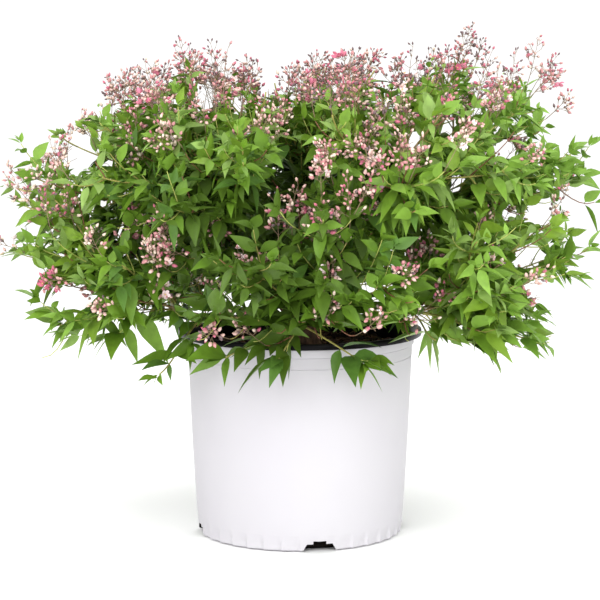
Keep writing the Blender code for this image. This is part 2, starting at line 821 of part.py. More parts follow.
def build_foliage(mass, masses, tips, sprigs, materials, draw):
    """One mass: a leader from its cane, a twig to each tip in its space, leaves and panicles."""
    foliage = Foliage(mass, masses, draw)
    space = foliage.space
    foot = mass.entry + mass.aim * GAP
    lead_tip = max(tips, key=space.margin)
    reach = (lead_tip - foot).length
    end_aim = (outward(lead_tip) + UP * 0.2).normalized()
    pulls = (mass.aim * reach * LEADER_PULL, end_aim * reach * TWIG_PULL)
    path = curve_points(foot, *pulls, lead_tip, CURVE_STEPS)
    foliage.add_shoot(path, LEADER_RADIUS, LEADER_TIP_RADIUS, LEADER_SIDES, NODES_PER_LEADER, 1.0, True)
    goals = [(tip, 1.0, None) for tip in tips if tip is not lead_tip] + sprigs
    for tip, limit, panicle in goals:
        found = branch_start(path, tip)
        if found is None:
            continue
        _, start, tangent = found
        way = tip - start
        pull = way.length * TWIG_PULL
        leave = tilt(tangent, way, LEAVE_SHARE * BRANCH_ANGLE) * pull
        arrive = (outward(tip) * 0.8 + UP * 0.25 + way.normalized() * 0.8).normalized() * pull
        points = curve_points(start, leave, arrive, tip, CURVE_STEPS)
        if not all(space.holds(point, limit) for point in points[1:]):
            points = curve_points(start, way * TWIG_PULL, way * TWIG_PULL, tip, CURVE_STEPS)
        if not all(space.holds(point, limit) for point in points[1:]):
            continue
        if panicle is None:
            height = (tip.z - HEART.z) / (CENTRE.z + HALF_UP - HEART.z)
            panicle = draw.random() < PANICLE_CHANCE[0] + PANICLE_CHANCE[1] * height
        radii = (TWIG_RADIUS, TWIG_TIP_RADIUS)
        foliage.add_shoot(points, *radii, TWIG_SIDES, NODES_PER_TWIG, limit, panicle)
    for shoot in foliage.shoots:
        foliage.dress(shoot)
    pieces = [shoot.build(f"{mass.label}_shoot", materials) for shoot in foliage.shoots]
    fuse(pieces[0], pieces[1:], solver="MANIFOLD")
    pieces[0].name = f"foliage_{mass.label}"
    pieces[0].data.name = pieces[0].name
    return pieces[0]


def main():
    clear_scene()
    pot_white = make_material("pot_white", (0.86, 0.86, 0.88), 0.42)
    bark_mix = make_material("bark_mix", (0.055, 0.034, 0.022), 0.95)
    wood = make_material("cane_bark", (0.20, 0.12, 0.075), 0.80)
    materials = (
        make_material("young_twig", (0.17, 0.13, 0.05), 0.70),
        make_material("leaf_green", (0.11, 0.22, 0.035), 0.55),
        make_material("blossom_pink", (0.80, 0.42, 0.45), 0.60),
    )
    masses = list_masses()
    build_pot(pot_white)
    build_mix(bark_mix)
    build_root_crown(masses, wood)
    tips = list_tips()
    for number, mass in enumerate(masses):
        build_cane(mass, wood)
        space = Space(mass, masses)
        own_tips = [space.draw_in(tip) for tip in tips if space.margin(tip) > 0.0]
        own_sprigs = []
        for azimuth, distance, height, panicle in SPRIGS:
            tip = heading(azimuth) * distance + UP * height
            if space.margin(tip) > 0.0:
                own_sprigs.append((space.draw_in(tip), SPRIG_LIMIT, panicle))
        build_foliage(mass, masses, own_tips, own_sprigs, materials, random.Random(SEED + number))


main()
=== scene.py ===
import math
import random

import bmesh
import bpy
import numpy as np
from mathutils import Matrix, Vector, noise


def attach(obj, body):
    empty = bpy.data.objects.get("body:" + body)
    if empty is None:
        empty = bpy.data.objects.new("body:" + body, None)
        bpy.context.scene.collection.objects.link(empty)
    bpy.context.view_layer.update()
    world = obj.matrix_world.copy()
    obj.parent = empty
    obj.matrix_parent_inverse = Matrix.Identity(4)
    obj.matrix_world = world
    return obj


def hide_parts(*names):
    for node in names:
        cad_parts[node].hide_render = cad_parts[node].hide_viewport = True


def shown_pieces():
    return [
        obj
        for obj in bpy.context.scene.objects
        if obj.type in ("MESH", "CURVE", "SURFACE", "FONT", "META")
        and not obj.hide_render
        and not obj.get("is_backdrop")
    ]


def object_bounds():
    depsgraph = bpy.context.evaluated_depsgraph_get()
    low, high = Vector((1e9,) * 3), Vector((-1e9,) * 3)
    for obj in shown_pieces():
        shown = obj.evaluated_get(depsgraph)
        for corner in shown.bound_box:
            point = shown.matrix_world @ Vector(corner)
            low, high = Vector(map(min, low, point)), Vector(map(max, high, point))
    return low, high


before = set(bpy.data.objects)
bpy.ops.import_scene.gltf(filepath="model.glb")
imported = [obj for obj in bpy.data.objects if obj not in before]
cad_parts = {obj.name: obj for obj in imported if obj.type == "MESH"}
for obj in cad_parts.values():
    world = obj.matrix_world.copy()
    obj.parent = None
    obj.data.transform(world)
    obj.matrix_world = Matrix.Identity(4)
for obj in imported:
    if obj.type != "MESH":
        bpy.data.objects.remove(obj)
cadBox = [list(corner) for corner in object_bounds()]
scene = bpy.context.scene
nodeNames = sorted(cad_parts)
massNodes = [name for name in nodeNames if name.startswith("foliage_")]
up = Vector((0.0, 0.0, 1.0))
goldenAngle = math.pi * (3.0 - math.sqrt(5.0))
print("frame loaded:", len(nodeNames), "nodes")


def linear(red, green, blue):
    return tuple(((c / 255.0 + 0.055) / 1.055) ** 2.4 for c in (red, green, blue))


def heading(azimuth, elevation=0.0):
    turn, lift = math.radians(azimuth), math.radians(elevation)
    return Vector((math.sin(turn) * math.cos(lift), -math.cos(turn) * math.cos(lift), math.sin(lift)))


def unit(rows):
    return rows / np.maximum(np.linalg.norm(rows, axis=1, keepdims=True), 1e-9)


# Camera: fitted to the container's rim and foot in the photograph's frame
camera = {"place": (0.0, -2.443, 0.571), "down": 7.07, "lens": 128.5, "sensor": 36.0}
lens = bpy.data.cameras.new("camera")
lens.sensor_width = camera["sensor"]
lens.lens = camera["lens"]
cameraObject = bpy.data.objects.new("camera", lens)
cameraObject.location = camera["place"]
cameraObject.rotation_euler = (math.radians(90.0 - camera["down"]), 0.0, 0.0)
scene.collection.objects.link(cameraObject)
scene.camera = cameraObject

# Light: a white room with a large soft box in front on the left and a weaker one on the right
room = {
    "white": 1.09,
    "boxes": [
        ("key", (-0.9, -2.6, 1.8), 2.6, 66.0),
        ("fill", (1.7, -2.0, 1.0), 2.0, 22.0),
        ("top", (0.3, 0.5, 2.6), 1.8, 18.0),
    ],
    "aim": (0.0, 0.0, 0.3),
    "floor": (0.985, 0.985, 0.985),
    "floorSize": 14.0,
}
world = bpy.data.worlds.new("room")
world.use_nodes = True
world.node_tree.nodes["Background"].inputs["Color"].default_value = (1.0, 1.0, 1.0, 1.0)
world.node_tree.nodes["Background"].inputs["Strength"].default_value = room["white"]
scene.world = world
scene.view_settings.view_transform = "Standard"
for name, place, size, power in room["boxes"]:
    light = bpy.data.lights.new(name, "AREA")
    light.shape = "DISK"
    light.size = size
    light.energy = power
    lightObject = bpy.data.objects.new(name, light)
    lightObject.location = place
    lightObject.rotation_euler = (Vector(room["aim"]) - Vector(place)).to_track_quat("-Z", "Y").to_euler()
    scene.collection.objects.link(lightObject)


def newMaterial(name, roughness, specular=0.5):
    material = bpy.data.materials.new(name)
    material.use_nodes = True
    shader = material.node_tree.nodes["Principled BSDF"]
    shader.inputs["Roughness"].default_value = roughness
    shader.inputs["Specular IOR Level"].default_value = specular
    return material, shader


def plainMaterial(name, colour, roughness, specular=0.5, bump=None):
    material, shader = newMaterial(name, roughness, specular)
    shader.inputs["Base Color"].default_value = (*colour, 1.0)
    if bump:
        addBump(material, shader, *bump)
    return material


def addNoise(material, scale, detail=4.0, stretch=(1.0, 1.0, 1.0)):
    nodes, links = material.node_tree.nodes, material.node_tree.links
    place = nodes.new("ShaderNodeTexCoord")
    mapping = nodes.new("ShaderNodeMapping")
    mapping.inputs["Scale"].default_value = stretch
    texture = nodes.new("ShaderNodeTexNoise")
    texture.inputs["Scale"].default_value = scale
    texture.inputs["Detail"].default_value = detail
    links.new(place.outputs["Object"], mapping.inputs["Vector"])
    links.new(mapping.outputs["Vector"], texture.inputs["Vector"])
    return texture.outputs["Fac"]


def addBump(material, shader, scale, distance, strength=1.0, stretch=(1.0, 1.0, 1.0)):
    bumpNode = material.node_tree.nodes.new("ShaderNodeBump")
    bumpNode.inputs["Distance"].default_value = distance
    bumpNode.inputs["Strength"].default_value = strength
    material.node_tree.links.new(addNoise(material, scale, 5.0, stretch), bumpNode.inputs["Height"])
    material.node_tree.links.new(bumpNode.outputs["Normal"], shader.inputs["Normal"])


def mottledMaterial(name, colours, scale, roughness, specular, bump, stretch=(1.0, 1.0, 1.0)):
    material, shader = newMaterial(name, roughness, specular)
    ramp = material.node_tree.nodes.new("ShaderNodeValToRGB")
    for k, (place, colour) in enumerate(colours):
        stop = ramp.color_ramp.elements[k] if k < 2 else ramp.color_ramp.elements.new(place)
        stop.position = place
        stop.color = (*colour, 1.0)
    material.node_tree.links.new(addNoise(material, scale, 5.0, stretch), ramp.inputs["Fac"])
    material.node_tree.links.new(ramp.outputs["Color"], shader.inputs["Base Color"])
    addBump(material, shader, *bump)
    return material


def addPiece(name, corners, triangles, materials, replaced, smooth=True, kinds=None):
    corners = np.asarray(corners, np.float32)
    triangles = np.asarray(triangles, np.int32)
    mesh = bpy.data.meshes.new(name)
    mesh.vertices.add(len(corners))
    mesh.vertices.foreach_set("co", corners.ravel())
    mesh.loops.add(triangles.size)
    mesh.loops.foreach_set("vertex_index", triangles.ravel())
    mesh.polygons.add(len(triangles))
    mesh.polygons.foreach_set("loop_start", np.arange(0, triangles.size, 3, dtype=np.int32))
    if kinds is not None:
        mesh.polygons.foreach_set("material_index", np.asarray(kinds, np.int32))
    for material in materials:
        mesh.materials.append(material)
    mesh.update(calc_edges=True)
    if smooth:
        mesh.shade_smooth()
    piece = bpy.data.objects.new(name, mesh)
    scene.collection.objects.link(piece)
    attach(piece, "root")
    if replaced:
        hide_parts(*replaced)
    return piece


def joinParts(parts):
    corners, triangles, count = [], [], 0
    for points, faces in parts:
        corners.append(np.asarray(points, float))
        triangles.append(np.asarray(faces, int) + count)
        count += len(points)
    return np.concatenate(corners), np.concatenate(triangles)


def stripFaces(rings, sides, closed=True):
    faces = []
    for ring in range(rings - 1):
        for j in range(sides if closed else sides - 1):
            a, b = ring * sides + j, ring * sides + (j + 1) % sides
            faces += [(a, b, b + sides), (a, b + sides, a + sides)]
    return faces


def tube(points, radii, sides, relief=0.0, seed=0.0):
    # Tube along a path, closed by a point at each end, with long ridges of bark where relief is given
    across = (points[1] - points[0]).orthogonal().normalized()
    corners = []
    for k, point in enumerate(points):
        tangent = (points[min(k + 1, len(points) - 1)] - points[max(k - 1, 0)]).normalized()
        across = (across - tangent * across.dot(tangent)).normalized()
        other = tangent.cross(across)
        for j in range(sides):
            turn = 2.0 * math.pi * j / sides
            out = across * math.cos(turn) + other * math.sin(turn)
            radius = radii[k]
            if relief:
                ridge = noise.noise(out * 2.2 + Vector((seed, k * 0.16, 0.0)))
                ridge += 0.5 * noise.noise(out * 5.0 + Vector((seed, k * 0.45, 9.0)))
                radius *= 1.0 + relief * ridge
            corners.append(point + out * radius)
    faces = stripFaces(len(points), sides)
    corners += [points[0], points[-1]]
    first, last = len(corners) - 2, len(corners) - 1
    top = (len(points) - 1) * sides
    for j in range(sides):
        nxt = (j + 1) % sides
        faces += [(nxt, j, first), (top + j, top + nxt, last)]
    return corners, faces


floorMaterial = plainMaterial("floor", room["floor"], 0.9, 0.1)
half = room["floorSize"] / 2.0
floorMesh = bpy.data.meshes.new("floor")
floorMesh.from_pydata([(-half, -half, 0), (half, -half, 0), (half, half, 0), (-half, half, 0)], [], [(0, 1, 2, 3)])
floorMesh.materials.append(floorMaterial)
floor = bpy.data.objects.new("floor", floorMesh)
floor.location = (0.0, 0.0, -0.0004)
scene.collection.objects.link(floor)
floor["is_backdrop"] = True
print("camera, light and floor made")

# Container: fluted foot, tapered wall with a slight belly, stepped collar and proud black rim
pot = {
    "height": 0.236, "segments": 360, "rimRadius": 0.1397, "rimHeight": 0.0065, "rimLip": 0.0057,
    "collarRadius": 0.1311, "collarStep": 0.0022, "collarStepZ": 0.2199, "collarFootZ": 0.2066,
    "wallTopRadius": 0.1285, "footRadius": 0.1176, "belly": 0.0010, "wall": 0.0018, "crease": 0.0005, "floor": 0.0030,
    "flutes": 36, "fluteHeight": 0.019, "fluteDepth": 0.0024, "fluteFade": 0.011, "rimRound": 0.0009,
    "white": linear(196, 194, 198), "whiteDull": linear(191, 188, 194), "black": linear(6, 5, 7), "blackDull": linear(11, 10, 12),
    "roughness": 0.52,
}
notch = {
    "count": 4, "azimuth": 10.9, "footHalf": 0.0220, "topHalf": 0.0146, "stepHalf": 0.0073,
    "top": 0.0087, "stepTop": 0.0122, "below": -0.004, "inner": 0.0980, "outer": 0.1260,
}


def potWallRadius(z):
    t = z / pot["collarFootZ"]
    taper = pot["footRadius"] + (pot["wallTopRadius"] - pot["footRadius"]) * t
    return taper + 4.0 * pot["belly"] * t * (1.0 - t)


def potProfile():
    # Rows of radius, height, groove depth and whether the band up to the next row is black
    lowerCollar = pot["collarRadius"] - pot["collarStep"]
    rimUnder = pot["height"] - pot["rimHeight"]
    foot, curve, wall, lip = pot["footRadius"], pot["rimRound"], pot["wall"], pot["rimLip"]
    rows = [(foot - 0.0085, 0.0, 0.0, False), (foot - 0.0060, 0.0, 0.0, False), (foot - 0.0054, 0.0010, 0.3, False)]
    rows += [(foot - 0.0010, 0.0014, 1.0, False), (foot - 0.0001, 0.0020, 1.0, False)]
    for k in range(1, 17):
        z = 0.0022 + (pot["fluteHeight"] - 0.0022) * k / 16.0
        rows.append((potWallRadius(z), z, 1.0, False))
    for k in range(1, 25):
        z = pot["fluteHeight"] + (pot["collarFootZ"] - 0.0006 - pot["fluteHeight"]) * k / 24.0
        rows.append((potWallRadius(z), z, 0.0, False))
    crease = pot["crease"]
    rows += [
        (pot["wallTopRadius"] - crease, pot["collarFootZ"] - 0.0002, 0.0, False),
        (pot["wallTopRadius"] - crease, pot["collarFootZ"] + 0.0004, 0.0, False),
        (lowerCollar, pot["collarFootZ"] + 0.0008, 0.0, False),
        (lowerCollar, pot["collarStepZ"] - 0.0012, 0.0, False),
        (lowerCollar - crease, pot["collarStepZ"] - 0.0009, 0.0, False),
        (lowerCollar - crease, pot["collarStepZ"] - 0.0001, 0.0, False),
        (pot["collarRadius"] - 0.0002, pot["collarStepZ"] + 0.0002, 0.0, False),
        (pot["collarRadius"], pot["collarStepZ"] + 0.0010, 0.0, False),
        (pot["collarRadius"], rimUnder - 0.0004, 0.0, True),
        (pot["collarRadius"] + 0.0006, rimUnder, 0.0, True),
        (pot["rimRadius"] - curve, rimUnder, 0.0, True),
        (pot["rimRadius"] - 0.3 * curve, rimUnder + 0.3 * curve, 0.0, True),
        (pot["rimRadius"], rimUnder + curve, 0.0, True),
        (pot["rimRadius"], pot["height"] - curve, 0.0, True),
        (pot["rimRadius"] - 0.3 * curve, pot["height"] - 0.3 * curve, 0.0, True),
        (pot["rimRadius"] - curve, pot["height"], 0.0, True),
        (pot["rimRadius"] - lip + curve, pot["height"], 0.0, True),
        (pot["rimRadius"] - lip, pot["height"] - curve, 0.0, True),
        (pot["collarRadius"] - wall, rimUnder + 0.0010, 0.0, True),
        (lowerCollar - wall, pot["collarStepZ"] - 0.0010, 0.0, True),
        (pot["wallTopRadius"] - wall, pot["collarFootZ"], 0.0, True),
        (foot - wall - 0.0010, pot["floor"], 0.0, True),
    ]
    return rows


def fluteShape(across, z):
    # Each flute slopes in from one side to a step on the other, and fades out upwards
    slope = across / 0.85 if across < 0.85 else (1.0 - across) / 0.15
    return slope * min(1.0, (pot["fluteHeight"] - z) / pot["fluteFade"])


def makePot():
    rows = potProfile()
    segments = pot["segments"]
    white = mottledMaterial(
        "potWhite", [(0.30, pot["whiteDull"]), (0.75, pot["white"])], 5.0, pot["roughness"], 0.45,
        (900.0, 0.00006, 0.35),
    )
    black = mottledMaterial(
        "potBlack", [(0.35, pot["black"]), (0.70, pot["blackDull"])], 40.0, 0.30, 0.08, (700.0, 0.00008, 0.4),
    )
    mesh = bmesh.new()
    rings = []
    for radius, z, groove, _ in rows:
        ring = []
        for j in range(segments):
            sunk = pot["fluteDepth"] * groove * fluteShape(j * pot["flutes"] / segments % 1.0, z)
            ring.append(mesh.verts.new(heading(360.0 * j / segments) * (radius - sunk) + up * z))
        rings.append(ring)
    for k in range(len(rings) - 1):
        for j in range(segments):
            nxt = (j + 1) % segments
            face = mesh.faces.new((rings[k][j], rings[k][nxt], rings[k + 1][nxt], rings[k + 1][j]))
            face.material_index = int(rows[k][3])
    for ring, kind in ((rings[0], 0), (rings[-1], 1)):
        mesh.faces.new(ring).material_index = kind
    bmesh.ops.recalc_face_normals(mesh, faces=mesh.faces)
    shell = bpy.data.meshes.new("potShell")
    mesh.to_mesh(shell)
    mesh.free()
    for material in (white, black):
        shell.materials.append(material)
    piece = bpy.data.objects.new("potShell", shell)
    scene.collection.objects.link(piece)
    cutters = bpy.data.collections.new("notchCutters")
    scene.collection.children.link(cutters)
    outline = (
        (-notch["footHalf"], notch["below"]), (-notch["topHalf"], notch["top"]),
        (-notch["stepHalf"], notch["top"]), (-notch["stepHalf"], notch["stepTop"]),
        (notch["stepHalf"], notch["stepTop"]), (notch["stepHalf"], notch["top"]),
        (notch["topHalf"], notch["top"]), (notch["footHalf"], notch["below"]),
    )
    made = []
    for k in range(notch["count"]):
        azimuth = notch["azimuth"] + 360.0 * k / notch["count"]
        out, side = heading(azimuth), heading(azimuth + 90.0)
        cut = bmesh.new()
        inner = [cut.verts.new(out * notch["inner"] + side * x + up * z) for x, z in outline]
        outer = [cut.verts.new(out * notch["outer"] + side * x + up * z) for x, z in outline]
        for j in range(len(outline)):
            nxt = (j + 1) % len(outline)
            cut.faces.new((inner[j], inner[nxt], outer[nxt], outer[j]))
        cut.faces.new(inner)
        cut.faces.new(outer)
        bmesh.ops.recalc_face_normals(cut, faces=cut.faces)
        cutMesh = bpy.data.meshes.new("cutter")
        cut.to_mesh(cutMesh)
        cut.free()
        cutMesh.materials.append(black)
        cutter = bpy.data.objects.new("cutter", cutMesh)
        cutters.objects.link(cutter)
        made.append(cutter)
    carve = piece.modifiers.new("notches", "BOOLEAN")
    carve.operation = "DIFFERENCE"
    carve.operand_type = "COLLECTION"
    carve.collection = cutters
    carved = bpy.data.meshes.new_from_object(piece.evaluated_get(bpy.context.evaluated_depsgraph_get()))
    piece.modifiers.clear()
    piece.data = carved
    for cutter in made:
        bpy.data.objects.remove(cutter, do_unlink=True)
    bpy.data.collections.remove(cutters)
    carved.shade_smooth()
    carved.set_sharp_from_angle(angle=math.radians(32.0))
    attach(piece, "root")
    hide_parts("nursery_pot")


makePot()
print("container made")

# Potting mix: a rough bed under loose bark chips, over a skirt painted near-black as shade
mix = {
    "top": 0.2145, "edgeTop": 0.2120, "rings": 26, "segments": 150, "rough": 0.0022, "foot": 0.0035, "footRadius": 0.1070,
    "edge": 0.1264, "chips": 1500, "chipLength": (0.004, 0.013), "bedRadius": 0.1255,
    "colours": [linear(58, 41, 30), linear(82, 58, 41), linear(38, 28, 22), linear(108, 80, 58)],
}


def makeMix():
    draw = random.Random(5)
    bed = mottledMaterial(
        "mixBed", [(0.3, linear(24, 18, 14)), (0.7, linear(60, 43, 31))], 130.0, 0.95, 0.2, (220.0, 0.0012, 0.9),
    )
    corners, rings = [], mix["rings"]
    for k in range(rings + 1):
        share = k / rings
        for j in range(mix["segments"]):
            point = heading(360.0 * j / mix["segments"]) * (mix["edge"] * (1.0 - share * 0.995))
            top = mix["edgeTop"] + (mix["top"] - mix["edgeTop"]) * min(1.0, share * 2.5)
            lump = noise.noise(point * 90.0) + 0.6 * noise.noise(point * 260.0)
            corners.append(point + up * (top - 0.001 + mix["rough"] * 0.6 * lump))
    faces = stripFaces(rings + 1, mix["segments"])
    # Painted shade: the skirt and base below the bed, seen through the pot's notches, are near-black to stand for the
    # shade inside the pot
    skirtShade = mottledMaterial(
        "mixSkirtShade", [(0.3, linear(9, 7, 6)), (0.7, linear(20, 15, 12))], 130.0, 0.95, 0.1, (220.0, 0.0012, 0.9),
    )
    skirt = [heading(360.0 * j / mix["segments"]) * mix["footRadius"] + up * mix["foot"] for j in range(mix["segments"])]
    skirtFaces = stripFaces(2, mix["segments"])
    wall = (skirt + corners[:mix["segments"]], skirtFaces)
    base = (skirt + [up * mix["foot"]], [(j, mix["segments"], (j + 1) % mix["segments"]) for j in range(mix["segments"])])
    points, triangles = joinParts([(corners, faces), wall, base])
    kinds = [0] * len(faces) + [1] * (len(triangles) - len(faces))
    addPiece("mixBed", points, triangles, [bed, skirtShade], ["potting_mix"], kinds=kinds)
    chips = [[] for _ in mix["colours"]]
    box = np.array([(x, y, z) for x in (-0.5, 0.5) for y in (-0.5, 0.5) for z in (-0.5, 0.5)])
    boxFaces = [(0, 1, 3), (0, 3, 2), (4, 6, 7), (4, 7, 5), (0, 4, 5), (0, 5, 1), (2, 3, 7), (2, 7, 6), (0, 2, 6), (0, 6, 4), (1, 5, 7), (1, 7, 3)]
    for k in range(mix["chips"]):
        radius = mix["bedRadius"] * math.sqrt((k + 0.5) / mix["chips"]) * 0.97
        turn = k * goldenAngle + draw.uniform(-0.2, 0.2)
        length = draw.uniform(*mix["chipLength"]) * (1.0 if radius < 0.118 else 0.55)
        size = np.array((length, length * draw.uniform(0.25, 0.6), length * draw.uniform(0.12, 0.3)))
        skew = 1.0 + np.array([[draw.uniform(-0.35, 0.35) for _ in range(3)] for _ in range(8)])
        spin = draw.uniform(0.0, math.pi)
        tip = draw.uniform(-0.5, 0.5)
        local = box * skew * size
        turned = np.stack([
            local[:, 0] * math.cos(spin) - local[:, 1] * math.sin(spin),
            local[:, 0] * math.sin(spin) + local[:, 1] * math.cos(spin),
            local[:, 2] + local[:, 0] * tip * 0.6,
        ], axis=1)
        place = np.array((radius * math.cos(turn), radius * math.sin(turn), mix["top"] + draw.uniform(-0.001, 0.0016)))
        chips[draw.choice((0, 0, 1, 1, 2, 2, 3))].append((turned + place, boxFaces))
    for k, parts in enumerate(chips):
        bark = plainMaterial(f"barkChip{k + 1}", mix["colours"][k], 0.9, 0.25, (380.0, 0.0006, 0.8))
        points, triangles = joinParts(parts)
        addPiece(f"barkChips{k + 1}", points, triangles, [bark], [], smooth=False)


makeMix()
print("potting mix made")

# The crown's rule, the same as the solids': a squat dome cut into wedges seen from the heart
crown = {
    "gap": 0.0003, "mixTop": 0.2145, "rootRadius": 0.0250, "rootHeight": 0.0280, "lobes": 5, "lobeDepth": 0.06,
    "heart": Vector((0.0, 0.0, 0.235)), "hollow": 0.105, "centre": Vector((0.004, 0.0, 0.385)),
    "halfWidth": 0.326, "halfDepth": 0.310, "halfUp": 0.166, "halfDown": 0.150, "shoulder": 2.9, "skirt": 4.0,
    "riseRight": 0.026, "riseFront": 0.012, "underside": 0.214, "undersideRise": 0.16, "sprigLowest": 0.168,
    "potClearance": 0.006, "massClearance": 0.0006,
    "layers": ((0.038, 0.091), (0.097, 0.119)), "candidates": 3000, "besidePot": 0.012, "abovePot": 0.030,
    "aboveHeart": 0.035, "tipRoom": 0.014, "branchAngle": 45.0, "leaveShare": 0.7, "branchZone": (0.10, 0.86),
    "leaderPull": 0.4, "twigPull": 0.3, "steps": 16, "nodeSpacing": 0.034, "seed": 43,
    "panicleChance": (0.30, 0.60), "panicleOverhang": 0.15, "panicleLength": 0.056,
    "tiers": (("low", 6, 0.0, 10.0, 0.0310, 26.0), ("high", 5, 36.0, 50.0, 0.0290, 55.0), ("top", 1, 0.0, 88.0, 0.0270, 88.0)),
    "compass": ("front", "front_right", "right", "back_right", "back", "back_left", "left", "front_left"),
    "sprigLimit": 1.30,
    "sprigs": (
        (-84.0, 0.302, 0.405, False), (88.0, 0.304, 0.400, True), (-80.0, 0.306, 0.325, True),
        (84.0, 0.292, 0.322, False), (70.0, 0.272, 0.236, False), (40.0, 0.226, 0.246, False),
        (-46.0, 0.212, 0.205, False), (-28.0, 0.186, 0.226, False), (-7.0, 0.184, 0.228, False),
        (21.0, 0.182, 0.222, False), (-72.0, 0.285, 0.250, False), (128.0, 0.215, 0.218, False),
        (-140.0, 0.290, 0.262, False), (178.0, 0.290, 0.350, False),
    ),
}


def curvePoints(start, startPull, endPull, end, steps):
    a, b, c, d = start, start + startPull, end - endPull, end
    points = []
    for k in range(steps + 1):
        t = k / steps
        s = 1.0 - t
        points.append(a * s ** 3 + b * (3 * s * s * t) + c * (3 * s * t * t) + d * t ** 3)
    return points


def rootMiddle():
    return Vector((0.0, 0.0, crown["mixTop"] + crown["gap"] + 0.42 * crown["rootHeight"]))


class Mass:
    def __init__(self, tier, number, count, first, elevation, bossReach, bossElevation):
        azimuth = first + 360.0 * number / count
        side = crown["compass"][round(azimuth / 45.0) % 8]
        self.label = f"{tier}_{side}" if count > 1 else tier
        self.aim = heading(azimuth, elevation)
        self.bossAim = heading(azimuth, bossElevation)
        self.bossEnd = rootMiddle() + self.bossAim * bossReach
        self.entry = crown["heart"] + self.aim * crown["hollow"]


def listMasses():
    masses = []
    for tier, count, first, elevation, reach, lift in crown["tiers"]:
        for number in range(count):
            masses.append(Mass(tier, number, count, first, elevation, reach, lift))
    return masses


def crownLevel(point):
    offset = point - crown["centre"]
    x, y, z = offset
    if z > 0.0:
        power = crown["shoulder"]
        tall = crown["halfUp"] + (crown["riseRight"] * x - crown["riseFront"] * y) / offset.length
    else:
        power, tall = crown["skirt"], crown["halfDown"]
    plan = math.hypot(x / crown["halfWidth"], y / crown["halfDepth"])
    return (plan ** power + (abs(z) / tall) ** power) ** (1.0 / power)


class Space:
    def __init__(self, mass, masses):
        self.walls = [(mass.aim - other.aim).normalized() for other in masses if other is not mass]

    def holds(self, point, limit, slack=0.0, beyond=0.0):
        # slack widens the wedge for fine growth, beyond the outline
        fromHeart = point - crown["heart"]
        lowest = crown["underside"] + crown["undersideRise"] * abs(point.y) if limit <= 1.0 else crown["sprigLowest"]
        if fromHeart.length < crown["hollow"] + crown["massClearance"] - slack or point.z < lowest:
            return False
        overPot = math.hypot(point.x, point.y) < pot["rimRadius"] + crown["potClearance"]
        if overPot and point.z < pot["height"] + crown["potClearance"]:
            return False
        if crownLevel(point) > limit + beyond:
            return False
        return all(fromHeart.dot(wall) > crown["massClearance"] - slack for wall in self.walls)

    def margin(self, point):
        fromHeart = point - crown["heart"]
        return min(fromHeart.dot(wall) for wall in self.walls)

    def drawIn(self, point):
        for wall in self.walls:
            short = crown["tipRoom"] - (point - crown["heart"]).dot(wall)
            if short > 0.0:
                point = point + wall * short
        return point


def listTips():
    tips = []
    for depth, spacing in crown["layers"]:
        layer = []
        for k in range(crown["candidates"]):
            height = 1.0 - 2.0 * (k + 0.5) / crown["candidates"]
            width = math.sqrt(1.0 - height * height)
            turn = k * goldenAngle
            direction = Vector((width * math.cos(turn), width * math.sin(turn), height))
            tip = crown["centre"] + direction * (1.0 / crownLevel(crown["centre"] + direction) - depth)
            besidePot = math.hypot(tip.x, tip.y) < pot["rimRadius"] + crown["besidePot"]
            overPot = besidePot and tip.z < pot["height"] + crown["abovePot"]
            tooNear = (tip - crown["heart"]).length < crown["hollow"] + crown["aboveHeart"]
            if overPot or tooNear or any((tip - other).length < spacing for other in layer):
                continue
            layer.append(tip)
        tips += layer
    return tips


def outward(point):
    return (point - crown["centre"] + up * 0.05).normalized()


def tilt(direction, towards, degrees):
    side = (towards - direction * towards.dot(direction)).normalized()
    turn = math.radians(degrees)
    return direction * math.cos(turn) + side * math.sin(turn)


def levelAcross(direction):
    across = direction.cross(up)
    return across.normalized() if across.length > 0.2 else Vector((1.0, 0.0, 0.0))


def measure(path):
    distances = [0.0]
    for low, high in zip(path, path[1:]):
        distances.append(distances[-1] + (high - low).length)
    return distances


def placeOn(path, distances, distance):
    for k in range(1, len(path)):
        if distance <= distances[k] or k == len(path) - 1:
            low, high = path[k - 1], path[k]
            span = distances[k] - distances[k - 1]
            return low.lerp(high, (distance - distances[k - 1]) / span), (high - low).normalized()


def branchStart(path, tip):
    distances = measure(path)
    first, last = (share * distances[-1] for share in crown["branchZone"])
    best = None
    for k in range(crown["steps"]):
        place, tangent = placeOn(path, distances, first + (last - first) * k / (crown["steps"] - 1))
        miss = abs(math.degrees(tangent.angle(tip - place)) - crown["branchAngle"])
        if (tip - place).length > crown["nodeSpacing"] and (best is None or miss < best[0]):
            best = (miss, place, tangent)
    return best


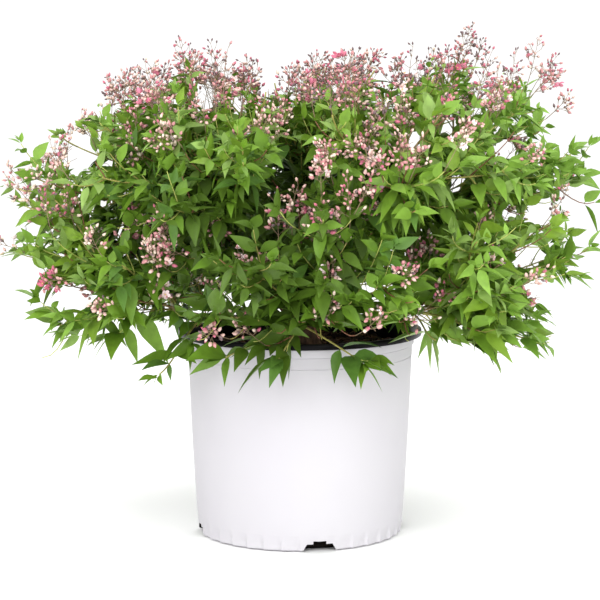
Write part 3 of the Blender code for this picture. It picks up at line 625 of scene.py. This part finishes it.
def listShoots(mass, masses, tips, sprigs, draw):
    # The same leader and twigs as the mass's solid, as path, limit and whether a panicle ends it
    space = Space(mass, masses)
    foot = mass.entry + mass.aim * crown["gap"]
    leadTip = max(tips, key=space.margin)
    reach = (leadTip - foot).length
    endAim = (outward(leadTip) + up * 0.2).normalized()
    pulls = (mass.aim * reach * crown["leaderPull"], endAim * reach * crown["twigPull"])
    path = curvePoints(foot, *pulls, leadTip, crown["steps"])
    shoots = [(path, 1.0, True)]
    for tip, limit, panicle in [(tip, 1.0, None) for tip in tips if tip is not leadTip] + sprigs:
        found = branchStart(path, tip)
        if found is None:
            continue
        _, start, tangent = found
        way = tip - start
        pull = way.length * crown["twigPull"]
        leave = tilt(tangent, way, crown["leaveShare"] * crown["branchAngle"]) * pull
        arrive = (outward(tip) * 0.8 + up * 0.25 + way.normalized() * 0.8).normalized() * pull
        points = curvePoints(start, leave, arrive, tip, crown["steps"])
        if not all(space.holds(point, limit) for point in points[1:]):
            points = curvePoints(start, way * crown["twigPull"], way * crown["twigPull"], tip, crown["steps"])
        if not all(space.holds(point, limit) for point in points[1:]):
            continue
        if panicle is None:
            height = (tip.z - crown["heart"].z) / (crown["centre"].z + crown["halfUp"] - crown["heart"].z)
            panicle = draw.random() < crown["panicleChance"][0] + crown["panicleChance"][1] * height
        shoots.append((points, limit, panicle))
    return space, shoots


# Root crown and canes, with the relief of thin peeling bark
bark = {
    "colours": [(0.30, linear(56, 42, 34)), (0.55, linear(98, 74, 57)), (0.80, linear(138, 112, 88))],
    "caneFoot": 0.0030, "caneTip": 0.0022, "caneSides": 14, "caneSteps": 40, "canePull": 0.36, "relief": 0.22,
    "bossFoot": 0.0044, "bossTip": 0.0032, "bossStart": 0.008,
    "profile": ((1.00, 0.00), (0.97, 0.08), (0.94, 0.18), (0.91, 0.32), (0.86, 0.45), (0.78, 0.60), (0.66, 0.75), (0.52, 0.86), (0.34, 0.95), (0.15, 0.99)),
    "segments": 60,
}
barkMaterial = mottledMaterial("caneBark", bark["colours"], 210.0, 0.82, 0.3, (420.0, 0.0006, 0.8), (1.0, 1.0, 0.25))


def makeRootCrown(masses):
    foot = crown["mixTop"] - 0.0012
    corners = []
    for share, rise in bark["profile"]:
        for j in range(bark["segments"]):
            turn = 2.0 * math.pi * j / bark["segments"]
            radius = crown["rootRadius"] * share * (1.0 + crown["lobeDepth"] * math.cos(crown["lobes"] * turn))
            out = heading(360.0 * j / bark["segments"])
            radius *= 1.0 + 0.09 * noise.noise(out * 3.0 + up * rise * 1.5) + 0.05 * noise.noise(out * 9.0 + up * rise * 4.0)
            corners.append(out * radius + up * (foot + crown["rootHeight"] * rise))
    faces = stripFaces(len(bark["profile"]), bark["segments"])
    corners += [up * foot, up * (foot + crown["rootHeight"])]
    last = (len(bark["profile"]) - 1) * bark["segments"]
    for j in range(bark["segments"]):
        nxt = (j + 1) % bark["segments"]
        faces += [(nxt, j, len(corners) - 2), (last + j, last + nxt, len(corners) - 1)]
    parts = [(corners, faces)]
    for k, mass in enumerate(masses):
        start = rootMiddle() + mass.bossAim * bark["bossStart"]
        points = [start.lerp(mass.bossEnd, step / 8.0) for step in range(9)]
        radii = [bark["bossFoot"] + (bark["bossTip"] - bark["bossFoot"]) * step / 8.0 for step in range(9)]
        parts.append(tube(points, radii, bark["caneSides"], bark["relief"], k * 3.7))
    points, triangles = joinParts(parts)
    addPiece("rootCrown", points, triangles, [barkMaterial], ["root_crown"])


def makeCane(mass, number):
    start = mass.bossEnd - mass.bossAim * 0.001
    length = (mass.entry - start).length
    end = mass.entry + mass.aim * 0.001
    points = curvePoints(start, mass.bossAim * length * bark["canePull"], mass.aim * length * bark["canePull"], end, bark["caneSteps"])
    radii = [bark["caneFoot"] + (bark["caneTip"] - bark["caneFoot"]) * k / bark["caneSteps"] for k in range(len(points))]
    points, triangles = tube(points, radii, bark["caneSides"], bark["relief"], number * 5.1)
    addPiece(f"cane{number + 1}", points, triangles, [barkMaterial], [f"cane_{mass.label}"])


masses = listMasses()
makeRootCrown(masses)
for number, mass in enumerate(masses):
    makeCane(mass, number)
print("root crown and canes made")

# Foliage: side shoots on the twigs, opposite leaves on both, and panicles of buds and flowers
spray = {
    "nodeStep": (0.015, 0.023), "firstNode": 0.010, "sideLength": (0.038, 0.094), "sideAngle": (34.0, 60.0),
    "sideSteps": 5, "sideChance": 0.92, "leafStep": (0.009, 0.014), "slack": 0.045, "sideSlack": 0.042, "boxRoom": 0.006,
    "lowShare": 0.88, "lowBelow": 0.26, "hangingChance": 0.18, "hangingShare": 0.5, "hangingFrom": 0.50, "hangingBelow": 0.26, "hangingWithin": 0.235,
    "waves": ((-0.125, 0.032, 0.16), (-0.017, 0.030, -0.16), (0.045, 0.045, -0.06), (0.090, 0.030, -0.14), (0.270, 0.050, 0.07), (0.345, 0.030, -0.06)),
    "openings": (
        (-0.250, 0.440, 0.015, 0.020), (-0.310, 0.300, 0.015, 0.015), (-0.260, 0.270, 0.015, 0.015),
        (-0.320, 0.215, 0.025, 0.015), (-0.180, 0.255, 0.010, 0.010), (-0.105, 0.500, 0.010, 0.015),
        (0.130, 0.450, 0.010, 0.010), (0.125, 0.535, 0.010, 0.010), (0.170, 0.465, 0.010, 0.010),
        (0.180, 0.400, 0.010, 0.010), (0.145, 0.245, 0.010, 0.015), (0.180, 0.205, 0.020, 0.010),
        (0.235, 0.440, 0.010, 0.010), (0.275, 0.365, 0.010, 0.010), (0.265, 0.315, 0.015, 0.015),
        (0.285, 0.275, 0.020, 0.015), (0.310, 0.385, 0.010, 0.015), (0.320, 0.220, 0.030, 0.015),
    ),
    "fineOpenings": {"outside": 0.62, "scale": 62.0, "above": 0.40, "from": 31.0},
    "openingEdge": 0.0018,
    "twigRadius": (0.0013, 0.0008), "leaderRadius": (0.0019, 0.0011), "sideRadius": (0.0009, 0.0005),
    "colours": {
        "leaders": linear(150, 128, 84), "twigs": linear(160, 154, 82), "youngTwigs": linear(180, 186, 98),
        "redTwigs": linear(140, 92, 70),
    },
}
leaf = {
    "length": (0.021, 0.041), "highLength": (1.14, 0.95), "share": (0.33, 0.46), "angle": (40.0, 72.0), "tipAngle": (20.0, 46.0), "droop": (0.04, 0.36), "hang": 0.24,
    "hangBelow": 0.34, "hangOver": 0.10, "fold": (0.10, 0.50), "bend": 0.16, "lift": 0.8, "face": 0.30, "stray": 0.7,
    "topStart": 0.42, "topSpan": 0.08, "topShort": 0.15, "highChance": 0.30, "highRise": 0.07,
    "clearance": 0.010, "clearSpread": 0.022, "lowestAside": 0.212, "thinBelow": 0.25, "thinChance": 0.50, "lowSize": 0.36, "sprigSize": 0.45, "spread": 0.9,
    "outline": ((0.0, 0.035), (0.07, 0.07), (0.17, 0.62), (0.31, 0.97), (0.47, 0.98), (0.65, 0.70), (0.84, 0.31)),
    "tones": {
        # The inside and low-middle shifts are painted shade, the left and under shifts painted light; right and top
        # lighten; shoot and pair are random offsets
        "base": 0.47, "right": 0.41, "left": 0.30, "top": 0.24, "low": 0.50, "middle": (-0.05, 0.11), "inside": 0.06,
        "under": 0.22,
        "shoot": 0.20, "pair": 0.10,
    },
    # Kinds from darkest to lightest, so the darker kinds also carry painted shade and the lighter kinds painted light
    "order": (
        (0.16, ("leafDeep",)), (0.40, ("leafMid", "leafMid", "leafMid", "leafBlue")), (0.64, ("leafFresh",)),
        (0.84, ("leafYellow", "leafPale")), (9.0, ("leafLight",)),
    ),
    "kinds": {
        "leafDeep": linear(76, 104, 27), "leafMid": linear(92, 126, 34), "leafFresh": linear(108, 144, 42),
        "leafPale": linear(128, 158, 78), "leafYellow": linear(116, 148, 44), "leafLight": linear(122, 160, 60),
        "leafBlue": linear(80, 116, 42),
    },
    "roughness": 0.50,
}
bloom = {
    "stalk": (0.010, 0.034), "length": (0.034, 0.060), "nodes": (4, 5), "arm": (0.010, 0.019), "pedicel": (0.0025, 0.0055),
    "budLength": (0.0047, 0.0072), "highBuds": (1.22, 0.88), "budShare": 0.30, "flower": 0.0068, "axisRadius": 0.00042, "reach": (0.90, 1.16), "closeLow": 0.28, "duskAbove": 0.70,
    "chance": (0.08, 0.37, 1.4), "innermost": 0.56,
    "middle": (0.045, 0.10, 0.30), "bareRight": (0.14, 0.22), "bare": 0.70, "floweryChance": 0.22, "openChance": 0.12,
    "patches": (
        (-0.300, 0.350, 0.040, 0.030, 0.75), (-0.140, 0.300, 0.035, 0.040, 0.50), (-0.090, 0.240, 0.030, 0.015, 0.50),
        (0.045, 0.350, 0.035, 0.070, 0.45), (-0.060, 0.470, 0.060, 0.025, 0.60), (0.215, 0.505, 0.050, 0.030, 0.25),
        (-0.090, 0.400, 0.080, 0.025, -0.28), (0.130, 0.350, 0.035, 0.040, -0.25), (0.300, 0.370, 0.030, 0.100, -0.30),
    ),
    "budKinds": {
        "budMaroon": linear(118, 98, 100), "budDeep": linear(190, 104, 124), "budRose": linear(200, 142, 142),
        "budPale": linear(222, 184, 174), "budCream": linear(228, 208, 190),
    },
    "tones": {
        "rose": (0.12, 0.10, 0.38, 0.26, 0.14), "pale": (0.06, 0.04, 0.22, 0.36, 0.32),
        "dusk": (0.60, 0.12, 0.18, 0.08, 0.02), "deep": (0.20, 0.28, 0.32, 0.16, 0.04),
    },
    "petalKinds": {"petalWhite": (linear(246, 226, 226), 0.62), "petalRose": (linear(214, 126, 150), 0.95)},
    "calyx": linear(126, 104, 90), "stamen": linear(222, 196, 130), "axis": linear(146, 124, 100),
}
leafRows = {kind: [] for kind in leaf["kinds"]}
budRows = {kind: [] for kind in bloom["budKinds"]}
flowerRows = {kind: [] for kind in bloom["petalKinds"]}
pedicelRows = []
twigParts = {kind: [] for kind in spray["colours"]}
axisParts = []


def heightShare(point):
    # 0 at the heart's level and 1 at the top of the crown
    top = crown["centre"].z + crown["halfUp"]
    return min(1.0, max(0.0, (point.z - crown["heart"].z) / (top - crown["heart"].z)))


def wave(point):
    # The crown's top rises and dips a little from left to right
    rise = sum(change * math.exp(-((point.x - place) / width) ** 2) for place, width, change in spray["waves"])
    return rise * min(1.0, max(0.0, (point.z - 0.40) / 0.08))


def frontSight(point):
    # Where the line of sight from the front meets the plane through the crown's middle
    sight = -camera["place"][1]
    share = sight / (sight + point.y)
    return point.x * share, camera["place"][2] + (point.z - camera["place"][2]) * share


def inOpening(point, edge):
    # Sky seen through the crown from the front: the larger openings by place, the fine ones by noise
    x, z = frontSight(point)
    for a, b, wide, tall in spray["openings"]:
        if ((x - a) / (wide + edge)) ** 2 + ((z - b) / (tall + edge)) ** 2 < 1.0:
            return True
    fine = spray["fineOpenings"]
    if crownLevel(Vector((x, 0.0, z))) < fine["outside"]:
        return False
    return noise.noise(Vector((x, fine["from"], z)) * fine["scale"]) > fine["above"]


def inReach(point, most):
    low, high = cadBox
    room = spray["boxRoom"]
    return crownLevel(point) < most + wave(point) and all(low[k] - room < point[k] < high[k] + room for k in range(3))


def leafLimit(point, limit, draw):
    # Leaves stop short of the haze of buds on top, apart from a few
    if limit > 1.0:
        return limit
    short = leaf["topShort"] * min(1.0, max(0.0, (point.z - leaf["topStart"]) / leaf["topSpan"]))
    return limit - short + (leaf["highRise"] if draw.random() < leaf["highChance"] else 0.0)


def addLeaf(space, limit, place, direction, normal, draw, kind, scale=1.0):
    large, small = leaf["highLength"]
    length = draw.uniform(*leaf["length"]) * scale * (large + (small - large) * heightShare(place))
    low = min(1.0, max(0.0, (leaf["hangBelow"] - place.z) / leaf["hangOver"]))
    overRim = math.hypot(place.x, place.y) < spray["hangingWithin"]
    length *= 1.0 + leaf["sprigSize" if limit > 1.0 and not overRim else "lowSize"] * low
    droop = draw.uniform(*leaf["droop"]) + leaf["hang"] * low * draw.random()
    most = leafLimit(place, limit, draw)
    shape = (draw.uniform(*leaf["share"]), droop, draw.uniform(*leaf["fold"]), draw.uniform(-1.0, 1.0) * leaf["bend"])
    if place.z < leaf["thinBelow"] and not overRim and draw.random() < leaf["thinChance"]:
        return False
    direction = (direction + Vector((direction.x, direction.y, 0.0)) * leaf["spread"] * low).normalized()
    clear = leaf["clearance"] + leaf["clearSpread"] * draw.random() ** 2 if limit <= 1.0 else 0.0
    lowest = 0.0 if overRim else leaf["lowestAside"]
    for share in (1.0, 0.72, 0.5):
        tip = place + direction * length * share - up * droop * length * share
        if any(inOpening(place.lerp(tip, t), spray["openingEdge"]) for t in (0.35, 0.65, 1.0)):
            continue
        if tip.z > lowest and space.holds(tip - up * clear, limit, spray["slack"], 0.10) and inReach(tip, most + 0.02):
            leafRows[kind].append((*place, *direction, *normal, length * share, *shape))
            return True
    return False


def addPair(space, limit, place, tangent, turn, draw, kind, scale=1.0, angles="angle"):
    across = levelAcross(tangent)
    if turn % 2:
        across = tangent.cross(across)
    for side in (across, -across):
        angle = draw.uniform(*leaf[angles])
        direction = tilt(tangent, side + Vector([draw.uniform(-0.3, 0.3) for _ in range(3)]), angle)
        wander = Vector([draw.uniform(-1.0, 1.0) for _ in range(3)]) * leaf["stray"]
        normal = up * leaf["lift"] + outward(place) * leaf["face"] + wander
        addLeaf(space, limit, place, direction, normal, draw, kind, scale)


def addBud(place, way, size, kind):
    budRows[kind].append((*place, *way, size * (0.84 if kind == "budMaroon" else 1.0)))


def addPanicle(place, tangent, draw):
    # Bare stalk, then pairs of arms that get shorter towards the tip, each with one to three buds
    height = heightShare(place)
    stalk, length = draw.uniform(*bloom["stalk"]), draw.uniform(*bloom["length"])
    close = 1.0 - bloom["closeLow"] * rampUp(-height, -0.85, -0.65)
    length *= close
    aim = tilt(tangent, up, draw.uniform(6.0, 30.0))
    side = Vector([draw.uniform(-1.0, 1.0) for _ in range(3)])
    finish = tilt(aim, side, draw.uniform(4.0, 20.0))
    most = draw.uniform(*bloom["reach"])
    for share in (1.0, 0.8, 0.6):
        tip = place + finish * (stalk + length) * share
        if inReach(tip, most):
            break
    else:
        return False
    stalk, length = stalk * share, length * share
    whole = stalk + length
    path = curvePoints(place, aim * whole * 0.35, tilt(aim, side, 24.0) * whole * 0.3, tip, 6)
    axisParts.append(tube(path, [bloom["axisRadius"] * (1.35 - 0.8 * k / 6.0) for k in range(7)], 3))
    if height > bloom["duskAbove"]:
        tone = draw.choice(("dusk", "dusk", "deep", "rose"))
    else:
        tone = draw.choice(("rose", "rose", "pale", "pale", "deep"))
    kinds, weights = list(bloom["budKinds"]), bloom["tones"][tone]
    flowery = draw.random() < bloom["floweryChance"]
    petals = "petalRose" if tone in ("dusk", "deep") else "petalWhite"
    distances = measure(path)
    count = draw.randint(*bloom["nodes"])
    for k in range(count + 1):
        along = k / count
        at = distances[-1] * (stalk + length * along) / whole
        point, direction = placeOn(path, distances, min(at, distances[-1]))
        across = levelAcross(direction)
        if k % 2:
            across = direction.cross(across)
        for arm in (across, -across) if k < count else (direction,):
            if k < count:
                arm = arm + Vector([draw.uniform(-0.4, 0.4) for _ in range(3)])
                out = tilt(direction, arm, draw.uniform(38.0, 66.0))
                reach = draw.uniform(*bloom["arm"]) * (1.0 - 0.72 * along) * close
                elbow = point + out * reach
                pedicelRows.append((*point, *elbow))
            else:
                out, elbow = direction, point
            buds = draw.choice((3, 4)) if along < 0.55 else draw.choice((1, 2, 2, 3))
            for b in range(buds):
                way = (out * 0.8 + Vector([draw.uniform(-0.75, 0.75) for _ in range(3)]) + up * 0.2).normalized()
                start = elbow if b == 0 else point.lerp(elbow, draw.uniform(0.55, 0.85))
                end = start + way * draw.uniform(*bloom["pedicel"])
                if inOpening(end, 0.0):
                    continue
                pedicelRows.append((*start, *end))
                if flowery and draw.random() < bloom["openChance"]:
                    flowerRows[petals].append((*end, *way, bloom["flower"] * draw.uniform(0.75, 1.1)))
                else:
                    large, small = bloom["highBuds"]
                    size = draw.uniform(*bloom["budLength"]) * (1.0 - 0.25 * along) * (large + (small - large) * height)
                    addBud(end, way, size, draw.choices(kinds, weights)[0])
    return True


def rampUp(value, start, end):
    return min(1.0, max(0.0, (value - start) / (end - start)))


def leafKind(place, offset, draw):
    # Leaf kinds, dark to light, by place: painted shade makes them darker in the lower middle and inside the crown,
    # painted light makes them lighter at the left edge and underneath, and they are also lighter on the right and on
    # top; shoot and pair add random differences
    tones = leaf["tones"]
    middle = math.exp(-((place.x - tones["middle"][0]) / tones["middle"][1]) ** 2)
    tone = tones["base"] + tones["right"] * rampUp(place.x, 0.10, 0.22) + tones["left"] * rampUp(-place.x, 0.16, 0.30)
    tone += tones["top"] * rampUp(place.z, 0.41, 0.48) - tones["low"] * middle * rampUp(-place.z, -0.46, -0.40)
    # Painted light underneath and painted shade inside the crown
    tone += tones["under"] * rampUp(-place.z, -0.27, -0.21)
    tone -= tones["inside"] * rampUp(-crownLevel(place), -0.85, -0.45)
    tone += offset + draw.uniform(-1.0, 1.0) * tones["pair"]
    for most, kinds in leaf["order"]:
        if tone < most:
            return draw.choice(kinds)


def bloomChance(place):
    # More towards the top and the middle, few low on the right, then more and fewer in patches on the front
    least, most, power = bloom["chance"]
    middle = math.exp(-((place.x - bloom["middle"][0]) / bloom["middle"][1]) ** 2) * rampUp(place.z, 0.26, 0.32)
    chance = least + most * heightShare(place) ** power + bloom["middle"][2] * middle
    bare = rampUp(place.x, *bloom["bareRight"]) * rampUp(-place.z, -0.50, -0.44)
    chance *= 1.0 - bloom["bare"] * bare
    x, z = frontSight(place)
    front = rampUp(-place.y, -0.04, 0.04)
    for a, b, wide, tall, change in bloom["patches"]:
        chance += front * change * math.exp(-((x - a) / wide) ** 2 - ((z - b) / tall) ** 2)
    return chance


def growSide(space, limit, place, tangent, side, draw, length):
    aim = tilt(tangent, side, draw.uniform(*spray["sideAngle"]))
    length *= spray["lowShare"] if place.z < spray["lowBelow"] else 1.0
    end = None
    for share in (1.0, 0.7, 0.45):
        tip = place + (aim * 0.8 + outward(place) * 0.25 + up * 0.15).normalized() * length * share
        if inOpening(tip, 0.0) or inOpening(place.lerp(tip, 0.6), 0.0):
            continue
        if space.holds(tip, limit, spray["sideSlack"]) and inReach(tip, leafLimit(tip, limit, draw)):
            end = tip
            break
    if end is None:
        return False
    way = (end - place).length
    finish = (aim * 0.5 + up * 0.6 + outward(end) * 0.4).normalized()
    path = curvePoints(place, aim * way * 0.35, finish * way * 0.35, end, spray["sideSteps"])
    first, last = spray["sideRadius"]
    radii = [first + (last - first) * k / spray["sideSteps"] for k in range(len(path))]
    twigParts[draw.choice(("youngTwigs", "youngTwigs", "twigs", "redTwigs"))].append(tube(path, radii, 3))
    offset = draw.uniform(-1.0, 1.0) * leaf["tones"]["shoot"]
    level, high = crownLevel(end), heightShare(end)
    flowering = level > bloom["innermost"] and draw.random() < bloomChance(end)
    distances = measure(path)
    at, turn = draw.uniform(0.006, 0.012), draw.randint(0, 1)
    while at < distances[-1] - 0.006:
        point, direction = placeOn(path, distances, at)
        fade = 1.0 - (0.28 if flowering else 0.15) * at / distances[-1]
        addPair(space, limit, point, direction, turn, draw, leafKind(point, offset, draw), fade)
        at += draw.uniform(*spray["leafStep"])
        turn += 1
    direction = (path[-1] - path[-2]).normalized()
    kind = leafKind(end, offset, draw)
    addPair(space, limit, path[-1], direction, turn, draw, kind, 0.70 if flowering else 0.80, "tipAngle")
    if not (flowering and addPanicle(path[-1], direction, draw)):
        addPair(space, limit, path[-1] + direction * 0.004, direction, turn + 1, draw, kind, 0.45, "tipAngle")
    return True


def growShoot(space, path, limit, panicle, leader, draw):
    sides = 6 if leader else 5
    first, last = spray["leaderRadius"] if leader else spray["twigRadius"]
    radii = [first + (last - first) * k / (len(path) - 1) for k in range(len(path))]
    twigParts["leaders" if leader else "twigs"].append(tube(path, radii, sides))
    distances = measure(path)
    length = distances[-1]
    at, turn = spray["firstNode"] + draw.uniform(0.0, 0.01), draw.randint(0, 1)
    while at < length - 0.004:
        point, tangent = placeOn(path, distances, at)
        across = levelAcross(tangent)
        if turn % 2:
            across = tangent.cross(across)
        kind = leafKind(point, draw.uniform(-1.0, 1.0) * leaf["tones"]["shoot"], draw)
        hanging = limit > 1.0 and path[-1].z < spray["hangingBelow"] and math.hypot(*path[-1].xy) < spray["hangingWithin"]
        chance = spray["hangingChance"] if hanging else spray["sideChance"]
        for side in (across, -across):
            if draw.random() < chance:
                sideLength = draw.uniform(*spray["sideLength"]) * (1.1 - 0.45 * at / length)
                growSide(space, limit, point, tangent, side, draw, sideLength * (spray["hangingShare"] if hanging else 1.0))
        if at > (spray["hangingFrom"] if hanging else 0.35) * length:
            addPair(space, limit, point, tangent, turn, draw, kind)
        at += draw.uniform(*spray["nodeStep"])
        turn += 1
    tangent = (path[-1] - path[-2]).normalized()
    kind = leafKind(path[-1], 0.0, draw)
    addPair(space, limit, path[-1], tangent, turn, draw, kind, 0.8, "tipAngle")
    if not (panicle and addPanicle(path[-1], tangent, draw)):
        addPair(space, limit, path[-1] + tangent * 0.004, tangent, turn + 1, draw, kind, 0.5, "tipAngle")


tips = listTips()
for number, mass in enumerate(masses):
    space = Space(mass, masses)
    ownTips = [space.drawIn(tip) for tip in tips if space.margin(tip) > 0.0]
    ownSprigs = []
    for azimuth, distance, height, panicle in crown["sprigs"]:
        tip = heading(azimuth) * distance + up * height
        if space.margin(tip) > 0.0:
            ownSprigs.append((space.drawIn(tip), crown["sprigLimit"], panicle))
    space, shoots = listShoots(mass, masses, ownTips, ownSprigs, random.Random(crown["seed"] + number))
    draw = random.Random(900 + number)
    for k, (path, limit, panicle) in enumerate(shoots):
        growShoot(space, path, limit, panicle, k == 0, draw)
counts = [sum(map(len, rows.values())) for rows in (leafRows, budRows, flowerRows)]
print("grown:", counts[0], "leaves,", counts[1], "buds,", counts[2], "flowers")


def foliageMaterial(name, colour, roughness, specular, scale, bump):
    shades = [(0.36, tuple(c * 0.86 for c in colour)), (0.64, tuple(min(1.0, c * 1.10) for c in colour))]
    return mottledMaterial(name, shades, scale, roughness, specular, bump)


def stamp(template, triangles, places, along, normal, size):
    # Copies of a small mesh whose axes are across, along and normal
    along = unit(along)
    across = unit(np.cross(along, normal))
    normal = np.cross(across, along)
    local = template * size[:, None, :]
    corners = places[:, None] + local[..., 0:1] * across[:, None] + local[..., 1:2] * along[:, None] + local[..., 2:3] * normal[:, None]
    faces = np.asarray(triangles)[None] + (np.arange(len(places)) * template.shape[-2])[:, None, None]
    return corners, faces.reshape(-1, 3)


def makeLeaves(kind, rows):
    # Pointed blade, folded along its midrib, bent sideways and drooping
    rows = np.array(rows)
    template = [(side * wide * 0.5, t, abs(side) * wide * 0.5) for t, wide in leaf["outline"] for side in (-1.0, 0.0, 1.0)]
    template.append((0.0, 1.0, 0.0))
    template = np.array(template)
    tip = len(template) - 1
    triangles = stripFaces(len(leaf["outline"]), 3, closed=False) + [(tip - 3, tip - 2, tip), (tip - 2, tip - 1, tip)]
    length, share, droop, fold, bend = rows[:, 9:14].T
    size = np.stack([share * length, length, share * length * fold], axis=1)
    shaped = np.repeat(template[None], len(rows), axis=0)
    shaped[..., 0] += (bend / share)[:, None] * template[None, :, 1] ** 2
    corners, faces = stamp(shaped, triangles, rows[:, 0:3], rows[:, 3:6], rows[:, 6:9], size)
    corners[..., 2] -= (droop * length)[:, None] * template[None, :, 1] ** 2
    material = foliageMaterial(kind, leaf["kinds"][kind], leaf["roughness"], 0.3, 90.0, (420.0, 0.0003, 0.5))
    addPiece(kind, corners.reshape(-1, 3), faces, [material], massNodes)


def budTemplate(sides, rings):
    points = [(0.0, 0.0, 0.0)]
    for along, wide in rings:
        for j in range(sides):
            turn = 2.0 * math.pi * j / sides
            points.append((math.cos(turn) * wide, along, math.sin(turn) * wide))
    points.append((0.0, 1.0, 0.0))
    faces = [(0, 1 + (j + 1) % sides, 1 + j) for j in range(sides)]
    for ring in range(len(rings) - 1):
        for j in range(sides):
            a, b = 1 + ring * sides + j, 1 + ring * sides + (j + 1) % sides
            faces += [(a, b, b + sides), (a, b + sides, a + sides)]
    top = 1 + (len(rings) - 1) * sides
    faces += [(top + j, top + (j + 1) % sides, len(points) - 1) for j in range(sides)]
    return np.array(points), faces


def sideways(along):
    hint = np.where(np.abs(along[:, 2:3]) < 0.8, np.array([[0.0, 0.0, 1.0]]), np.array([[1.0, 0.0, 0.0]]))
    return np.cross(along, hint)


def makeBuds(kind, rows):
    rows = np.array(rows)
    template, triangles = budTemplate(5, ((0.26, 0.94), (0.66, 0.80)))
    size = rows[:, 6:7] * np.array([[bloom["budShare"], 1.0, bloom["budShare"]]])
    corners, faces = stamp(template, triangles, rows[:, 0:3], rows[:, 3:6], sideways(rows[:, 3:6]), size)
    material = foliageMaterial(kind, bloom["budKinds"][kind], 0.5, 0.3, 260.0, (900.0, 0.0001, 0.4))
    addPiece(kind, corners.reshape(-1, 3), faces, [material], massNodes)


def makeCalyces(rows):
    # Short cup round the foot of each bud
    rows = np.array(rows)
    sides = 5
    points = [(0.0, -0.10, 0.0)]
    for j in range(sides):
        turn = 2.0 * math.pi * j / sides
        points.append((math.cos(turn) * 0.98, 0.34, math.sin(turn) * 0.98))
    triangles = [(0, 1 + (j + 1) % sides, 1 + j) for j in range(sides)]
    size = rows[:, 6:7] * np.array([[bloom["budShare"], 1.0, bloom["budShare"]]])
    corners, faces = stamp(np.array(points), triangles, rows[:, 0:3], rows[:, 3:6], sideways(rows[:, 3:6]), size)
    material = foliageMaterial("calyx", bloom["calyx"], 0.7, 0.25, 300.0, (900.0, 0.0001, 0.4))
    addPiece("calyces", corners.reshape(-1, 3), faces, [material], massNodes)


def makeFlowers(kind, rows):
    # Five cupped petals, each with a raised middle line
    rows = np.array(rows)
    colour, cup = bloom["petalKinds"][kind]
    points, triangles = [], []
    for petal in range(5):
        turn = 2.0 * math.pi * petal / 5.0
        first = len(points)
        for along, wide in ((0.06, 0.05), (0.42, 0.27), (0.76, 0.24)):
            for side in (-1.0, 0.0, 1.0):
                x, z = along * (1.0 - 0.45 * cup * along), side * wide
                rise = cup * along ** 1.4 + 0.06 * abs(side)
                points.append((x * math.cos(turn) - z * math.sin(turn), rise, x * math.sin(turn) + z * math.cos(turn)))
        x = 1.0 - 0.45 * cup
        points.append((x * math.cos(turn), cup, x * math.sin(turn)))
        triangles += [(a + first, b + first, c + first) for a, b, c in stripFaces(3, 3, closed=False)]
        triangles += [(first + 6, first + 7, first + 9), (first + 7, first + 8, first + 9)]
    size = np.repeat(rows[:, 6:7], 3, axis=1)
    corners, faces = stamp(np.array(points), triangles, rows[:, 0:3], rows[:, 3:6], sideways(rows[:, 3:6]), size)
    material = foliageMaterial(kind, colour, 0.55, 0.3, 200.0, (700.0, 0.0002, 0.4))
    addPiece(kind, corners.reshape(-1, 3), faces, [material], massNodes)


def makeStamens(rows):
    rows = np.array(rows)
    template, triangles = budTemplate(4, ((0.30, 0.80), (0.66, 0.94)))
    size = rows[:, 6:7] * np.array([[0.16, 0.42, 0.16]])
    corners, faces = stamp(template, triangles, rows[:, 0:3], rows[:, 3:6], sideways(rows[:, 3:6]), size)
    material = foliageMaterial("stamen", bloom["stamen"], 0.6, 0.3, 500.0, (900.0, 0.0002, 0.5))
    addPiece("stamens", corners.reshape(-1, 3), faces, [material], massNodes)


def makePedicels(rows):
    rows = np.array(rows)
    points = [(math.cos(2.0 * math.pi * j / 3), y, math.sin(2.0 * math.pi * j / 3)) for y in (0.0, 1.0) for j in range(3)]
    along = rows[:, 3:6] - rows[:, 0:3]
    length = np.linalg.norm(along, axis=1, keepdims=True)
    size = np.concatenate([np.full_like(length, 0.00028), length, np.full_like(length, 0.00028)], axis=1)
    corners, faces = stamp(np.array(points), stripFaces(2, 3), rows[:, 0:3], along, sideways(along), size)
    return corners.reshape(-1, 3), faces


for kind, rows in leafRows.items():
    makeLeaves(kind, rows)
print("leaves made")
for kind, rows in budRows.items():
    makeBuds(kind, rows)
makeCalyces([row for rows in budRows.values() for row in rows])
for kind, rows in flowerRows.items():
    makeFlowers(kind, rows)
makeStamens([row for rows in flowerRows.values() for row in rows])
print("blossom made")
for name, parts in twigParts.items():
    points, triangles = joinParts(parts)
    material = foliageMaterial(name, spray["colours"][name], 0.65, 0.35, 160.0, (500.0, 0.0003, 0.6))
    addPiece(name, points, triangles, [material], massNodes)
points, triangles = joinParts(axisParts + [makePedicels(pedicelRows)])
axisMaterial = foliageMaterial("panicleAxis", bloom["axis"], 0.7, 0.3, 200.0, (600.0, 0.0001, 0.4))
addPiece("panicleAxes", points, triangles, [axisMaterial], massNodes)
total = sum(len(piece.data.polygons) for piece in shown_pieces() if piece.type == "MESH")
print("twigs made;", total, "faces in all")
